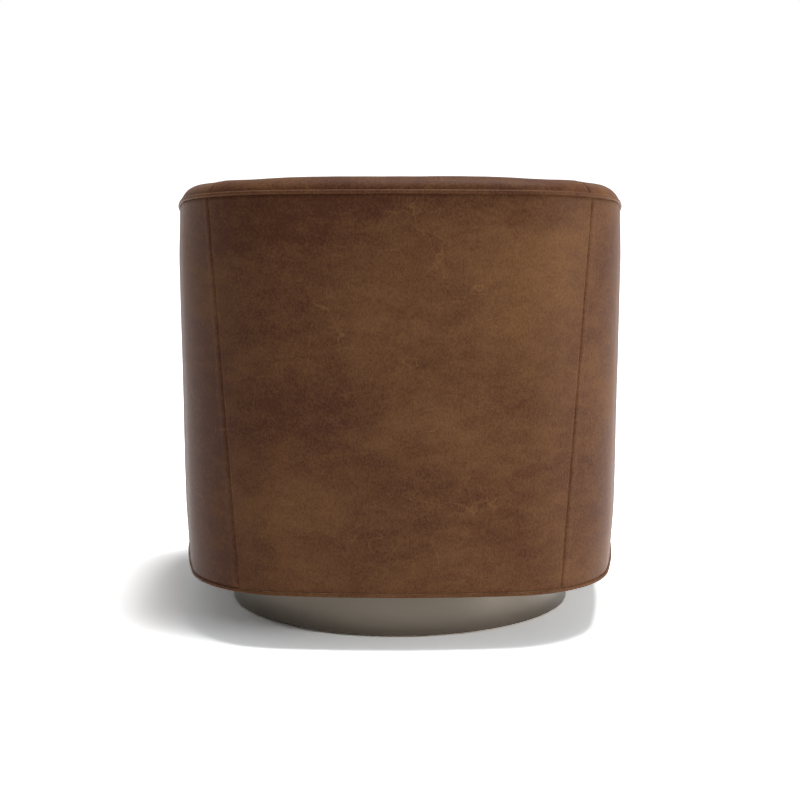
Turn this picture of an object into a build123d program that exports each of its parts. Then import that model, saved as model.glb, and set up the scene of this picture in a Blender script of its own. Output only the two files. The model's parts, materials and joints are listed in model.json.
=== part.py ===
"""Swivel barrel chair: upholstered tub on a round plinth, in millimetres.

+Z is up and the origin is on the floor under the swivel axis. The chair faces -Y,
so its back is towards +Y and the sitter's left hand is towards +X. An inset is a
distance drawn in from the outer leather, the same all round.
"""

from math import atan2, cos, degrees, hypot, pi, radians, sin, sqrt, tan
import os

from build123d import *

os.makedirs("parts", exist_ok=True)

# ---- Outer form -------------------------------------------------------------
half_width = 390.0  # at the level of the welt behind the back
back_reach = 390.0
front_reach = 394.0
back_arc_radius = 1530.0
back_corner_radius = 196.0
side_arc_radius = 1900.0
side_arc_centre = -137.0
front_corner_radius = 150.0
front_arc_radius = 1600.0
flare = 0.53  # degrees that the sides lean out
underside = 90.0
welt_height = 737.0  # welt line in the middle of the back
rim_slope = 7.2  # degrees that the rim falls towards the front
crown_rise = 27.0  # top of the padded rim over the welt line
crown_radius = 28.0
nose_radius = 31.0

# ---- Seat well between the arms ---------------------------------------------
well_half_width = 297.0  # at the front of the arms, at welt height
well_front_mark = -300.0
well_back = 278.0
well_back_radius = 1400.0
well_corner_radius = 105.0
arm_toe = 3.5  # degrees that the arms close in towards the back
back_rake = 13.2  # degrees that the inner back leans
well_mouth = 700.0  # how far forward the well's cutting block runs

# ---- Layers of the wall -------------------------------------------------------
leather = 2.0
fit = 0.2  # gap left between two layers
wadding = 6.0
outer_board = 3.0
frame_depth = 26.0
lining = 3.0
pad_foam = 54.0  # padding in front of the straps and on the arms
webbing = 1.4
rib_thickness = 18.0
rib_reach = 46.0  # how far a rib reaches in from the face of the posts
crown_foam = 20.0
top_welt_radius = 3.5
bottom_welt_radius = 3.0
back_seam_top = 305.0  # half width of the outer back panel at the welt
back_seam_bottom = 260.0
seam_gap = 0.4
corner_seam_offset = 20.0
front_recess = 28.0  # front panel behind the outline
front_board = 12.0

# ---- Frame and springing ------------------------------------------------------
bottom_rib_reach = 34.0  # inner edge of the bottom rib, from the nose wrap
post_width = 45.0
front_post_turn = -40.0  # degrees round each arc of the plan
side_post_turn = 2.0
corner_post_turn = 46.0
back_post_turn = 86.5
seat_rib_top = 258.0
seat_rib_width = 38.0
seat_rib_cut_front = 255.0
seat_rib_cut_back = 190.0
spring_wire = 3.8
spring_count = 5
spring_spacing = 90.0
spring_width = 50.0
spring_bend = 9.0
spring_legs = 37
spring_centre_height = 264.2
spring_clip = (20.0, 13.0, 9.0)
clip_clearance = 0.05
strap_width = 50.0
strap_columns = 5
strap_column_spacing = 86.0
strap_rows = (350.0, 450.0, 550.0, 650.0)
deck_cloth = 1.2
deck_foam = 14.0
deck_cover = 1.3
deck_lip = 80.0
dust_cover = 1.2
dust_cover_hole_gap = 6.0
staple_count = 28
staple_width = 10.0
staple_wire = 1.0
staple_leg = 8.0
staple_inset = 24.0
staple_front_step = 25.0  # puts the front staples in the rib behind the front panel

# ---- Seat cushion -------------------------------------------------------------
cushion_gap = 5.0
cushion_front_inset = 3.0
cushion_front_corner = 42.0
cushion_thickness = 158.0
cushion_crown = 16.0
cushion_bulge = 1.0
cushion_wrap = 15.0
cushion_welt_radius = 3.0
cushion_pinch = 3.6  # how far the seams draw the sides in

# ---- Plinth and swivel --------------------------------------------------------
plinth_radius = 300.0
skirt_wall = 1.5
skirt_bottom = 3.0
skirt_height = 75.0
skirt_flange = 10.0
skirt_edge = 0.8
glide_height = 4.0
glide_radius = 16.0
glide_count = 6
glide_circle = 262.0
glide_edge = 0.8
glide_nail_radius = 1.5
glide_nail_length = 14.0
disc_thickness = 18.0
disc_gap = 0.3
block_height = 26.0
block_size = (60.0, 44.0)
block_circle = 255.0
block_count = 8
screw_radius = 2.5
screw_head_radius = 5.0
screw_head_height = 3.0
screw_clearance = 0.05
plate_radius = 132.0
plate_thickness = 3.0
swivel_height = 24.0  # from the plinth's top disc to the top of the upper plate
race_radius = 100.0
race_width = 20.0
ball_radius = 4.75
ball_clearance = 0.05
ball_count = 24
race_gap = 1.5  # from the balls' centres to each raceway's face
cage_thickness = 2.0
cage_width = 16.0
bolt_circle = 118.0
bolt_radius = 4.0
bolt_head_radius = 7.0
bolt_head_height = 5.3
bolt_nut_height = 6.5
bolt_clearance = 0.05
pivot_radius = 6.0
pivot_clearance = 0.05
pivot_head_radius = 10.0
pivot_head_height = 6.5
pivot_nut_height = 6.5
pivot_washer_radius = 14.0
pivot_washer = 1.5
pivot_play = 0.1
pivot_well_radius = 30.0
swivel_rail_offset = 95.0
swivel_rail_width = 60.0
swivel_rail_height = 25.0

# ---- Places that follow from the values above ---------------------------------
wadding_inset = leather + fit
board_inset = wadding_inset + wadding + fit
frame_inset = board_inset + outer_board + fit
lining_inset = frame_inset + frame_depth + fit
nose_wrap = lining_inset + lining
inner_inset = nose_wrap + fit
rib_inset = frame_inset + rib_reach
front_wadding_inset = front_recess + leather + fit
front_board_inset = front_wadding_inset + wadding + fit
front_rib_inset = front_board_inset + front_board + fit
rib_top_rise = crown_rise - leather - fit - crown_foam
rib_bottom_rise = rib_top_rise - rib_thickness
above_rim = welt_height + 3 * crown_rise
bottom_rib_top = underside + rib_thickness
deck_bottom = spring_centre_height + spring_wire / 2 + 2.0
cover_bottom = deck_bottom + fit
deck_foam_bottom = deck_bottom + deck_cloth + fit
deck_cover_bottom = deck_foam_bottom + deck_foam + fit
lip_bottom = deck_cover_bottom + deck_cover + fit
cushion_bottom = lip_bottom + leather + 2 * fit
top_disc_bottom = glide_height + disc_thickness + block_height
top_disc_top = top_disc_bottom + disc_thickness
swivel_top = top_disc_top + swivel_height
ball_height = top_disc_top + swivel_height / 2
rail_bottom = swivel_top
slope = radians(rim_slope)
rake = tan(radians(back_rake))
toe = radians(arm_toe)


def finish(part, name):
    """Labels a finished piece and writes it to its own file."""
    part.label = name
    export_step(part, f"parts/{name}.step")


def blend_centre(first, first_radius, second, second_radius, radius, toward):
    """Centre of an arc of this radius that runs smoothly into two larger arcs."""
    a, b = first_radius - radius, second_radius - radius
    dx, dy = second[0] - first[0], second[1] - first[1]
    apart = hypot(dx, dy)
    along = (a * a - b * b + apart * apart) / (2 * apart)
    across = sqrt(a * a - along * along)
    foot = (first[0] + dx * along / apart, first[1] + dy * along / apart)
    step = (-dy * across / apart, dx * across / apart)
    choices = [(foot[0] + s * step[0], foot[1] + s * step[1]) for s in (1, -1)]
    return max(choices, key=lambda p: p[0] * toward[0] + p[1] * toward[1])


def bearing(centre, point):
    """Direction in degrees from a centre to a point."""
    return degrees(atan2(point[1] - centre[1], point[0] - centre[0]))


# ---- Plan of the outer form: eight arcs that run smoothly into each other --------
back_centre = (0, back_reach - back_arc_radius)
side_centre = (half_width - side_arc_radius, side_arc_centre)
front_centre = (0, front_arc_radius - front_reach)
back_corner = blend_centre(
    back_centre, back_arc_radius, side_centre, side_arc_radius, back_corner_radius, (1, 1)
)
front_corner = blend_centre(
    front_centre, front_arc_radius, side_centre, side_arc_radius, front_corner_radius, (1, -1)
)
back_turn = bearing(back_centre, back_corner)
side_turn_back = bearing(side_centre, back_corner)
side_turn_front = bearing(side_centre, front_corner)
front_turn = bearing(front_centre, front_corner)


def mirrored(point):
    return (-point[0], point[1])


def outline(inset, height):
    """The chair's plan at a height, drawn in by an inset."""
    inset = inset + (welt_height - height) * tan(radians(flare))
    corner_sweep = back_turn - side_turn_back
    side_sweep = side_turn_back - side_turn_front
    front_sweep = side_turn_front - front_turn
    with BuildSketch(Plane.XY.offset(height)) as plan:
        with BuildLine():
            CenterArc(back_centre, back_arc_radius - inset, back_turn, 180 - 2 * back_turn)
            CenterArc(mirrored(back_corner), back_corner_radius - inset, 180 - back_turn, corner_sweep)
            CenterArc(mirrored(side_centre), side_arc_radius - inset, 180 - side_turn_back, side_sweep)
            CenterArc(mirrored(front_corner), front_corner_radius - inset, 180 - side_turn_front, front_sweep)
            CenterArc(front_centre, front_arc_radius - inset, -180 - front_turn, 180 + 2 * front_turn)
            CenterArc(front_corner, front_corner_radius - inset, front_turn, front_sweep)
            CenterArc(side_centre, side_arc_radius - inset, side_turn_front, side_sweep)
            CenterArc(back_corner, back_corner_radius - inset, side_turn_back, corner_sweep)
        make_face()
    return plan.sketch


def form(inset, bottom, top):
    """The leaning outer form between two heights, drawn in by an inset."""
    with BuildPart() as block:
        loft([outline(inset, bottom).face(), outline(inset, top).face()], ruled=True)
    return block.part


def sleeve(inset, bottom, top):
    """All that lies outside the outer form's inset, between two heights."""
    outside = -2 * crown_radius
    with BuildPart() as ring:
        add(form(outside, bottom, top))
        add(form(inset, bottom, top), mode=Mode.SUBTRACT)
    return ring.part


def well_outline(grow, height):
    """The seat well's plan at a height: straight arms, round corners, bowed back."""
    back_radius = well_back_radius + grow
    corner_radius = well_corner_radius + grow
    centre = (0, well_back - well_back_radius)
    out = (cos(toe), sin(toe))
    run = (-sin(toe), cos(toe))
    reach = well_half_width * out[0] + well_front_mark * out[1] - well_corner_radius
    foot = (out[0] * reach - centre[0], out[1] * reach - centre[1])
    half = foot[0] * run[0] + foot[1] * run[1]
    gap = well_back_radius - well_corner_radius
    travel = sqrt(half * half - foot[0] ** 2 - foot[1] ** 2 + gap * gap) - half
    corner = (out[0] * reach + run[0] * travel, out[1] * reach + run[1] * travel)
    turn = bearing(centre, corner)
    start = (corner[0] + corner_radius * out[0], corner[1] + corner_radius * out[1])
    length = (start[1] + well_mouth) / run[1]
    mouth = (start[0] - run[0] * length, -well_mouth)
    shift = (height - welt_height) * rake
    with BuildSketch(Plane((0, shift, height))) as plan:
        with BuildLine():
            CenterArc(centre, back_radius, turn, 180 - 2 * turn)
            CenterArc(mirrored(corner), corner_radius, 180 - turn, turn - arm_toe)
            Line(mirrored(start), mirrored(mouth))
            Line(mirrored(mouth), mouth)
            Line(mouth, start)
            CenterArc(corner, corner_radius, arm_toe, turn - arm_toe)
        make_face()
    return plan.sketch


def well(grow, bottom, top):
    """The seat well between two heights; its back leans and its arms are upright."""
    with BuildPart() as block:
        extrude(well_outline(grow, bottom).face(), amount=(top - bottom) * hypot(1, rake), dir=(0, rake, 1))
    return block.part


def rim_plane(rise):
    """The sloping plane that lies this far over the rim's welt line."""
    normal = Vector(0, -sin(slope), cos(slope))
    return Plane(origin=Vector(0, back_reach, welt_height) + normal * rise, x_dir=(1, 0, 0), z_dir=normal)


def wall(inset, bottom, rise, crowned=False):
    """Arms and back as one block, drawn in all over, with its noses rounded."""
    with BuildPart() as block:
        add(form(inset, bottom, above_rim))
        add(well(inset, bottom - 1, above_rim + 1), mode=Mode.SUBTRACT)
        upright = block.edges().filter_by(lambda e: abs(e.tangent_at(0.5).Z) > 0.9)
        at_front = upright.filter_by(lambda e: e.center().Y < well_front_mark / 2)
        fillet(at_front.sort_by(lambda e: abs(e.center().X))[:2], nose_radius - inset)
        split(bisect_by=rim_plane(rise), keep=Keep.BOTTOM)
        if crowned:
            top = block.faces().sort_by(Axis.Z)[-1]
            fillet(top.edges(), crown_radius - inset)
    return block.part


def back_panel_wedge(margin):
    """Block between the two leaning seams of the outer back."""
    top = back_seam_top + margin
    bottom = back_seam_bottom + margin
    lean = (top - bottom) / (welt_height - underside)
    above, below = above_rim - welt_height, underside
    with BuildPart() as wedge:
        with BuildSketch(Plane.XZ.offset(-2 * back_reach)):
            Polygon(
                (bottom - lean * below, 0),
                (top + lean * above, above_rim),
                (-top - lean * above, above_rim),
                (-bottom + lean * below, 0),
                align=None,
            )
        extrude(amount=2 * back_reach)
    return wedge.part


def corner_wedge(margin):
    """Block behind the two diagonal seams of the inner back."""
    reach = 2 * back_reach
    tip = corner_seam_offset - margin * sqrt(2)
    with BuildPart() as wedge:
        with BuildSketch(Plane.XY):
            Polygon((0, tip), (reach, tip + reach), (-reach, tip + reach), align=None)
        extrude(amount=2 * above_rim)
    return wedge.part


def keep_side(part, side, wedge=None):
    """The part's left (+1) or right (-1) half, less a wedge."""
    with BuildPart() as half:
        add(part)
        if wedge is not None:
            add(wedge, mode=Mode.SUBTRACT)
        split(bisect_by=Plane.YZ, keep=Keep.TOP if side > 0 else Keep.BOTTOM)
    return half.part


# ---- Outer covers, wadding and board -------------------------------------------
def wrapped_layer(near, far, bottom, rise):
    """One layer of the outer wall; it turns round the noses to the inner seam."""
    with BuildPart() as layer:
        add(wall(near, bottom, rise))
        add(wall(far, bottom - 1, rise + 1), mode=Mode.SUBTRACT)
        add(form(nose_wrap, bottom - 1, above_rim + 1), mode=Mode.SUBTRACT)
    return layer.part


def rounded_ring(near, far, low_cut, high_cut, radius):
    """A welt's cord round the outer wall, between two planes."""
    with BuildPart() as cord:
        add(wrapped_layer(near, far, underside - 4 * radius, crown_rise))
        split(bisect_by=high_cut, keep=Keep.BOTTOM)
        split(bisect_by=low_cut, keep=Keep.TOP)
        flats = cord.faces().filter_by(lambda f: abs(f.normal_at().dot(high_cut.z_dir)) > 0.999)
        long_edges = flats.edges().filter_by(lambda e: e.length > 2.2 * radius)
        fillet(long_edges, 0.92 * radius)
    return cord.part


cover_hem = underside + 2 * bottom_welt_radius + 2 * fit
hem_rise = -top_welt_radius - fit
outer_leather = wrapped_layer(0, leather, cover_hem, hem_rise)

with BuildPart() as outer_back_cover:
    add(outer_leather)
    add(back_panel_wedge(-seam_gap / 2), mode=Mode.INTERSECT)
finish(outer_back_cover.part, "outer_back_cover")

for side, hand in ((1, "left"), (-1, "right")):
    cover = keep_side(outer_leather, side, back_panel_wedge(seam_gap / 2))
    finish(cover, f"outer_side_cover_{hand}")

outer_wadding = wrapped_layer(wadding_inset, wadding_inset + wadding, cover_hem, hem_rise)
finish(outer_wadding, "outer_wadding")

board = wrapped_layer(board_inset, board_inset + outer_board, cover_hem, hem_rise)
finish(board, "outer_board")

top_welt = rounded_ring(
    1 - top_welt_radius, 1 + top_welt_radius,
    rim_plane(-top_welt_radius), rim_plane(top_welt_radius), top_welt_radius,
)
finish(top_welt, "top_welt")

bottom_welt = rounded_ring(
    1 - bottom_welt_radius, 1 + bottom_welt_radius,
    Plane.XY.offset(underside + fit), Plane.XY.offset(underside + fit + 2 * bottom_welt_radius),
    bottom_welt_radius,
)
finish(bottom_welt, "bottom_welt")


# ---- Inner covers over the rim, and the foam under them ---------------------------
def lined_wall(inset, under_welt, behind):
    """Wall from the deck up, less all that the outer layers and the frame take."""
    with BuildPart() as block:
        add(wall(inset, cover_bottom, crown_rise - inset, crowned=True))
        add(sleeve(behind, cover_bottom - 1, above_rim), mode=Mode.SUBTRACT)
        add(rim_part(inset, under_welt))
    return block.part


def rim_part(inset, rise):
    """The padded top of the wall, from a plane up."""
    with BuildPart() as cap:
        add(wall(inset, cover_bottom, crown_rise - inset, crowned=True))
        split(bisect_by=rim_plane(rise), keep=Keep.TOP)
    return cap.part


with BuildPart() as inner_leather:
    add(lined_wall(0, top_welt_radius + fit, inner_inset))
    add(wall(leather, cover_bottom - 1, crown_rise - leather, crowned=True), mode=Mode.SUBTRACT)

with BuildPart() as inner_back_cover:
    add(inner_leather.part)
    add(corner_wedge(-seam_gap / 2), mode=Mode.INTERSECT)
finish(inner_back_cover.part, "inner_back_cover")

for side, hand in ((1, "left"), (-1, "right")):
    cover = keep_side(inner_leather.part, side, corner_wedge(seam_gap / 2))
    finish(cover, f"inner_arm_cover_{hand}")

with BuildPart() as rib_space:
    add(sleeve(rib_inset + fit, cover_bottom, above_rim))
    split(bisect_by=rim_plane(rib_top_rise + fit), keep=Keep.BOTTOM)
    split(bisect_by=rim_plane(rib_bottom_rise - fit), keep=Keep.TOP)

with BuildPart() as whole_foam:
    add(lined_wall(wadding_inset, rib_top_rise + fit, inner_inset))
    add(rib_space.part, mode=Mode.SUBTRACT)

with BuildPart() as pad_below_rib:
    add(whole_foam.part)
    split(bisect_by=rim_plane(rib_bottom_rise - fit), keep=Keep.BOTTOM)
    add(well(wadding_inset + pad_foam, cover_bottom - 1, above_rim), mode=Mode.INTERSECT)

with BuildPart() as inner_foam:
    add(whole_foam.part)
    split(bisect_by=rim_plane(rib_bottom_rise - fit), keep=Keep.TOP)
    add(pad_below_rib.part)

with BuildPart() as back_foam_pad:
    add(inner_foam.part)
    add(corner_wedge(-seam_gap / 2), mode=Mode.INTERSECT)
finish(back_foam_pad.part, "inner_back_foam")

for side, hand in ((1, "left"), (-1, "right")):
    pad = keep_side(inner_foam.part, side, corner_wedge(seam_gap / 2))
    finish(pad, f"inner_arm_foam_{hand}")


# ---- Plywood ribs and hardwood posts ---------------------------------------------
def front_layer(near, far_inset, bottom, top, spread=0):
    """One layer across the front, between the arms."""
    with BuildPart() as layer:
        add(form(near, bottom, top))
        add(form(far_inset, bottom - 1, top + 1), mode=Mode.SUBTRACT)
        add(well(spread - fit, bottom - 1, top + 1), mode=Mode.INTERSECT)
        split(bisect_by=Plane.XZ, keep=Keep.TOP)
    return layer.part


with BuildPart() as bottom_rib:
    add(wall(frame_inset, underside, 0))
    split(bisect_by=Plane.XY.offset(bottom_rib_top), keep=Keep.BOTTOM)
    add(form(inner_inset, underside, bottom_rib_top))
    add(form(inner_inset + bottom_rib_reach, underside - 1, bottom_rib_top + 1), mode=Mode.SUBTRACT)
finish(bottom_rib.part, "bottom_rib")

with BuildPart() as rim_rib:
    add(wall(frame_inset, cover_bottom, rib_top_rise))
    add(form(rib_inset, cover_bottom - 1, above_rim + 1), mode=Mode.SUBTRACT)
    split(bisect_by=rim_plane(rib_bottom_rise), keep=Keep.TOP)
finish(rim_rib.part, "rim_rib")


with BuildPart() as framed_wall:
    add(wall(frame_inset, bottom_rib_top, rib_bottom_rise - fit))
    add(form(frame_inset + frame_depth, bottom_rib_top - 1, above_rim + 1), mode=Mode.SUBTRACT)


def post(place, turn):
    """One upright between the bottom rib and the rim rib, shaped to the wall."""
    with BuildPart() as upright:
        with BuildSketch(Plane.XY.offset(bottom_rib_top)):
            with Locations(Location(place, turn)):
                Rectangle(4 * frame_depth, post_width)
        extrude(amount=above_rim - bottom_rib_top)
        add(framed_wall.part, mode=Mode.INTERSECT)
    return upright.part.solids()[0]


def on_arc(centre, radius, turn):
    """Place of a post on one of the plan's arcs, and the way it faces."""
    reach = radius - frame_inset - frame_depth / 2
    across = (centre[0] + reach * cos(radians(turn)), centre[1] + reach * sin(radians(turn)))
    return across, turn


post_places = {
    "front_posts": on_arc(front_corner, front_corner_radius, front_post_turn),
    "side_posts": on_arc(side_centre, side_arc_radius, side_post_turn),
    "corner_posts": on_arc(back_corner, back_corner_radius, corner_post_turn),
    "back_posts": on_arc(back_centre, back_arc_radius, back_post_turn),
}
for name, (place, turn) in post_places.items():
    with BuildPart() as pair:
        add(post(place, turn))
        mirror(about=Plane.YZ)
    finish(pair.part, name)

seat_rib_bottom = seat_rib_top - rib_thickness
with BuildPart() as seat_ring:
    add(wall(frame_inset, seat_rib_bottom, 0))
    split(bisect_by=Plane.XY.offset(seat_rib_top), keep=Keep.BOTTOM)
    add(form(inner_inset, seat_rib_bottom, seat_rib_top))
    add(form(lining_inset, seat_rib_bottom - 1, seat_rib_top + 1), mode=Mode.INTERSECT)
    add(form(lining_inset + seat_rib_width, seat_rib_bottom - 1, seat_rib_top + 1), mode=Mode.SUBTRACT)


def slab(x_low, x_high, y_low, y_high):
    """Plain block at the seat ribs' level, to cut them to length."""
    with BuildPart() as block:
        with BuildSketch(Plane.XY.offset(seat_rib_top - 2 * rib_thickness)):
            with Locations(((x_low + x_high) / 2, (y_low + y_high) / 2)):
                Rectangle(x_high - x_low, y_high - y_low)
        extrude(amount=3 * rib_thickness)
    return block.part


far = 2 * half_width
with BuildPart() as front_seat_rib:
    add(form(front_rib_inset, seat_rib_bottom, seat_rib_top))
    add(form(lining_inset + seat_rib_width, seat_rib_bottom - 1, seat_rib_top + 1), mode=Mode.SUBTRACT)
    add(slab(-seat_rib_cut_front, seat_rib_cut_front, -far, 0), mode=Mode.INTERSECT)
finish(front_seat_rib.part, "front_seat_rib")

with BuildPart() as back_seat_rib:
    add(seat_ring.part)
    add(slab(-seat_rib_cut_back, seat_rib_cut_back, 0, far), mode=Mode.INTERSECT)
finish(back_seat_rib.part, "back_seat_rib")

with BuildPart() as side_seat_ribs:
    add(seat_ring.part)
    add(slab(-seat_rib_cut_front - fit, seat_rib_cut_front + fit, -far, 0), mode=Mode.SUBTRACT)
    add(slab(-seat_rib_cut_back - fit, seat_rib_cut_back + fit, 0, far), mode=Mode.SUBTRACT)
    add(front_layer(0, front_rib_inset, seat_rib_bottom - 1, seat_rib_top + 1, 2 * fit), mode=Mode.SUBTRACT)
finish(side_seat_ribs.part, "side_seat_ribs")

with BuildPart() as arm_linings:
    add(wall(frame_inset, cover_bottom, rib_bottom_rise - fit))
    add(sleeve(lining_inset, cover_bottom - 1, above_rim + 1), mode=Mode.SUBTRACT)
    add(form(nose_wrap, cover_bottom - 1, above_rim + 1), mode=Mode.SUBTRACT)
    add(corner_wedge(seam_gap / 2), mode=Mode.SUBTRACT)
finish(arm_linings.part, "arm_linings")

# ---- Front panel under the cushion --------------------------------------------------
board_top = seat_rib_top - fit
finish(front_layer(front_board_inset, front_board_inset + front_board, bottom_rib_top + fit, board_top), "front_panel_board")
finish(front_layer(front_wadding_inset, front_wadding_inset + wadding, cover_hem, deck_bottom), "front_panel_wadding")

with BuildPart() as front_panel_cover:
    add(front_layer(front_recess, front_recess + leather, cover_hem, lip_bottom + leather))
    add(front_layer(front_recess, front_recess + deck_lip, lip_bottom, lip_bottom + leather))
finish(front_panel_cover.part, "front_panel_cover")

with BuildPart() as front_welt:
    add(front_layer(front_recess + 1 - bottom_welt_radius, front_recess + 1 + bottom_welt_radius,
                    underside + fit, underside + fit + 2 * bottom_welt_radius))
    flats = front_welt.faces().filter_by(Axis.Z)
    fillet(flats.edges().filter_by(lambda e: e.length > 2.2 * bottom_welt_radius), 0.92 * bottom_welt_radius)
finish(front_welt.part, "front_panel_welt")

# ---- Springing and deck ---------------------------------------------------------------
spring_half_length = (spring_legs - 1) * spring_bend
spring_middle = (back_reach - front_reach) / 2


def zigzag():
    """One sinuous spring: straight legs across, joined by half turns."""
    half_leg = spring_width / 2 - spring_bend
    with BuildPart() as spring:
        with BuildLine(Plane.XY.offset(spring_centre_height)) as path:
            for leg in range(spring_legs):
                y = spring_middle - spring_half_length + 2 * spring_bend * leg
                way = 1 if leg % 2 == 0 else -1
                Line((-way * half_leg, y), (way * half_leg, y))
                if leg < spring_legs - 1:
                    CenterArc((way * half_leg, y + spring_bend), spring_bend, -90, 180 * way)
        with BuildSketch(Plane(path.line @ 0, z_dir=path.line % 0)):
            Circle(spring_wire / 2)
        sweep(path=path.line)
    return spring.part


spring_row = GridLocations(spring_spacing, 1, spring_count, 1)
with BuildPart() as seat_springs:
    one_spring = zigzag()
    add([place * one_spring for place in spring_row])
finish(seat_springs.part, "seat_springs")

clip_ends = [spring_middle - spring_half_length, spring_middle + spring_half_length]
with BuildPart() as spring_clips:
    with BuildSketch(Plane.XY.offset(seat_rib_top)):
        for y in clip_ends:
            with Locations((0, y)):
                with GridLocations(spring_spacing, 1, spring_count, 1):
                    Rectangle(spring_clip[0], spring_clip[1])
    extrude(amount=spring_clip[2])
    for y in clip_ends:
        with BuildSketch(Plane.YZ.offset(-far)):
            with Locations((y, spring_centre_height)):
                Circle(spring_wire / 2 + clip_clearance)
        extrude(amount=2 * far, mode=Mode.SUBTRACT)
finish(spring_clips.part, "spring_clips")


def deck_layer(bottom, thickness):
    """One layer of the deck, from the front panel to the inner covers."""
    with BuildPart() as layer:
        add(form(front_recess + leather + fit, bottom, bottom + thickness))
        add(well(-2 * fit, bottom - 1, bottom + thickness + 1), mode=Mode.INTERSECT)
    return layer.part


finish(deck_layer(deck_bottom + fit, deck_cloth), "deck_cloth")
finish(deck_layer(deck_foam_bottom + fit, deck_foam), "deck_foam")
finish(deck_layer(deck_cover_bottom + fit, deck_cover), "deck_cover")


def strap_sheet(near, far_grow):
    """A raked sheet behind the back's foam, to cut straps from."""
    with BuildPart() as sheet:
        add(well(far_grow, cover_bottom, above_rim))
        add(well(near, cover_bottom - 1, above_rim + 1), mode=Mode.SUBTRACT)
        split(bisect_by=rim_plane(rib_bottom_rise - fit), keep=Keep.BOTTOM)
        add(form(nose_wrap, cover_bottom - 1, above_rim + 1), mode=Mode.INTERSECT)
    return sheet.part


def strap(sheet, centre, width, height):
    """One strap, cut from a raked sheet where a rectangle seen from behind says."""
    with BuildPart() as band:
        with BuildSketch(Plane.XZ):
            with Locations(centre):
                Rectangle(width, height)
        extrude(amount=-far)
        add(sheet, mode=Mode.INTERSECT)
    return band.part.solids()


strap_at = wadding_inset + pad_foam + fit
upright_sheet = strap_sheet(strap_at, strap_at + webbing)
level_sheet = strap_sheet(strap_at + webbing + fit, strap_at + 2 * webbing + fit)
straps = []
for column in range(strap_columns):
    across = (column - (strap_columns - 1) / 2) * strap_column_spacing
    straps += strap(upright_sheet, (across, above_rim / 2), strap_width, above_rim)
for height in strap_rows:
    straps += strap(level_sheet, (0, height), strap_columns * strap_column_spacing, strap_width)
finish(Compound(children=straps), "back_webbing")

# ---- Dust cover and its staples ------------------------------------------------------
def staple_places():
    """Evenly spaced places round the underside's outline, with the way each one faces."""
    ring = outline(staple_inset, underside).face().outer_wire()
    places = []
    for number in range(staple_count):
        share = number / staple_count
        point, way = ring @ share, ring % share
        in_front = point.Y < well_front_mark and abs(point.X) < well_half_width
        y = point.Y + (staple_front_step if in_front else 0)
        places.append(((point.X, y), degrees(atan2(way.Y, way.X)) - 90))
    return places


with BuildPart() as dust_sheet:
    add(wall(frame_inset, underside - dust_cover, 0))
    split(bisect_by=Plane.XY.offset(underside), keep=Keep.BOTTOM)
    add(form(inner_inset, underside - dust_cover, underside))
    with BuildSketch(Plane.XY.offset(underside - dust_cover)):
        Circle(plate_radius + 2 * dust_cover_hole_gap)
    extrude(amount=dust_cover, mode=Mode.SUBTRACT)
finish(dust_sheet.part, "dust_cover")
with BuildPart() as dust_cover_staples:
    for place, turn in staple_places():
        with BuildSketch(Plane.XY.offset(underside - dust_cover - staple_wire)):
            with Locations(Location(place, turn)):
                Rectangle(staple_wire, staple_width)
        extrude(amount=staple_wire)
        with BuildSketch(Plane.XY.offset(underside - dust_cover)):
            with Locations(Location(place, turn)):
                with GridLocations(1, staple_width - staple_wire, 1, 2):
                    Rectangle(staple_wire, staple_wire)
        extrude(amount=staple_leg)
finish(dust_cover_staples.part, "dust_cover_staples")


# ---- Seat cushion ---------------------------------------------------------------------
def cushion_section(inset, height):
    """The cushion's plan at a height: the well drawn in, with a bowed front."""
    with BuildSketch(Plane.XY.offset(height)) as section:
        add(well_outline(-cushion_gap - inset, height))
        add(outline(cushion_front_inset + inset, height), mode=Mode.INTERSECT)
        front = section.vertices().group_by(Axis.Y)[0]
        fillet(front, cushion_front_corner)
    return section.sketch.face()


def cushion_form(inset):
    """The cushion drawn in all over: pinched at both seams and crowned on top."""
    low, high = cushion_bottom, cushion_bottom + cushion_thickness
    seam = cushion_welt_radius + fit
    edge = 2 * cushion_welt_radius
    sides = [
        (low + edge - seam, cushion_pinch),
        (low + edge + seam, cushion_pinch),
        (low + 3 * edge, cushion_bulge),
        ((low + high) / 2, 0),
        (high - 2 * edge, cushion_bulge),
        (high - seam, cushion_pinch),
        (high + seam, cushion_pinch),
    ]
    crown = [
        (high + rise * cushion_crown - inset, drawn * edge)
        for rise, drawn in ((0.45, 2), (0.75, 5), (0.93, 9), (1, 13))
    ]
    between = [level for level in sides if low + inset + 1 < level[0] < crown[0][0] - 1]
    levels = [(low + inset, 2 * edge), *between, *crown]
    with BuildPart() as pad:
        loft([cushion_section(inset + drawn, level) for level, drawn in levels], ruled=True)
    return pad.part


def cushion_welt(height):
    """One ring of welt round the cushion."""
    low, high = height - cushion_welt_radius, height + cushion_welt_radius
    outside, inside = fit - cushion_welt_radius, fit + cushion_welt_radius
    with BuildPart() as cord:
        loft([cushion_section(outside, low), cushion_section(outside, high)], ruled=True)
        loft([cushion_section(inside, low), cushion_section(inside, high)], ruled=True, mode=Mode.SUBTRACT)
        fillet(cord.faces().filter_by(Axis.Z).edges(), 0.9 * cushion_welt_radius)
    return cord.part


with BuildPart() as cushion_cover:
    add(cushion_form(0))
    add(cushion_form(leather), mode=Mode.SUBTRACT)
finish(cushion_cover.part, "cushion_cover")

with BuildPart() as cushion_fibre:
    add(cushion_form(wadding_inset))
    add(cushion_form(wadding_inset + cushion_wrap), mode=Mode.SUBTRACT)
finish(cushion_fibre.part, "cushion_wrap")
finish(cushion_form(wadding_inset + cushion_wrap + fit), "cushion_core")

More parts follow.
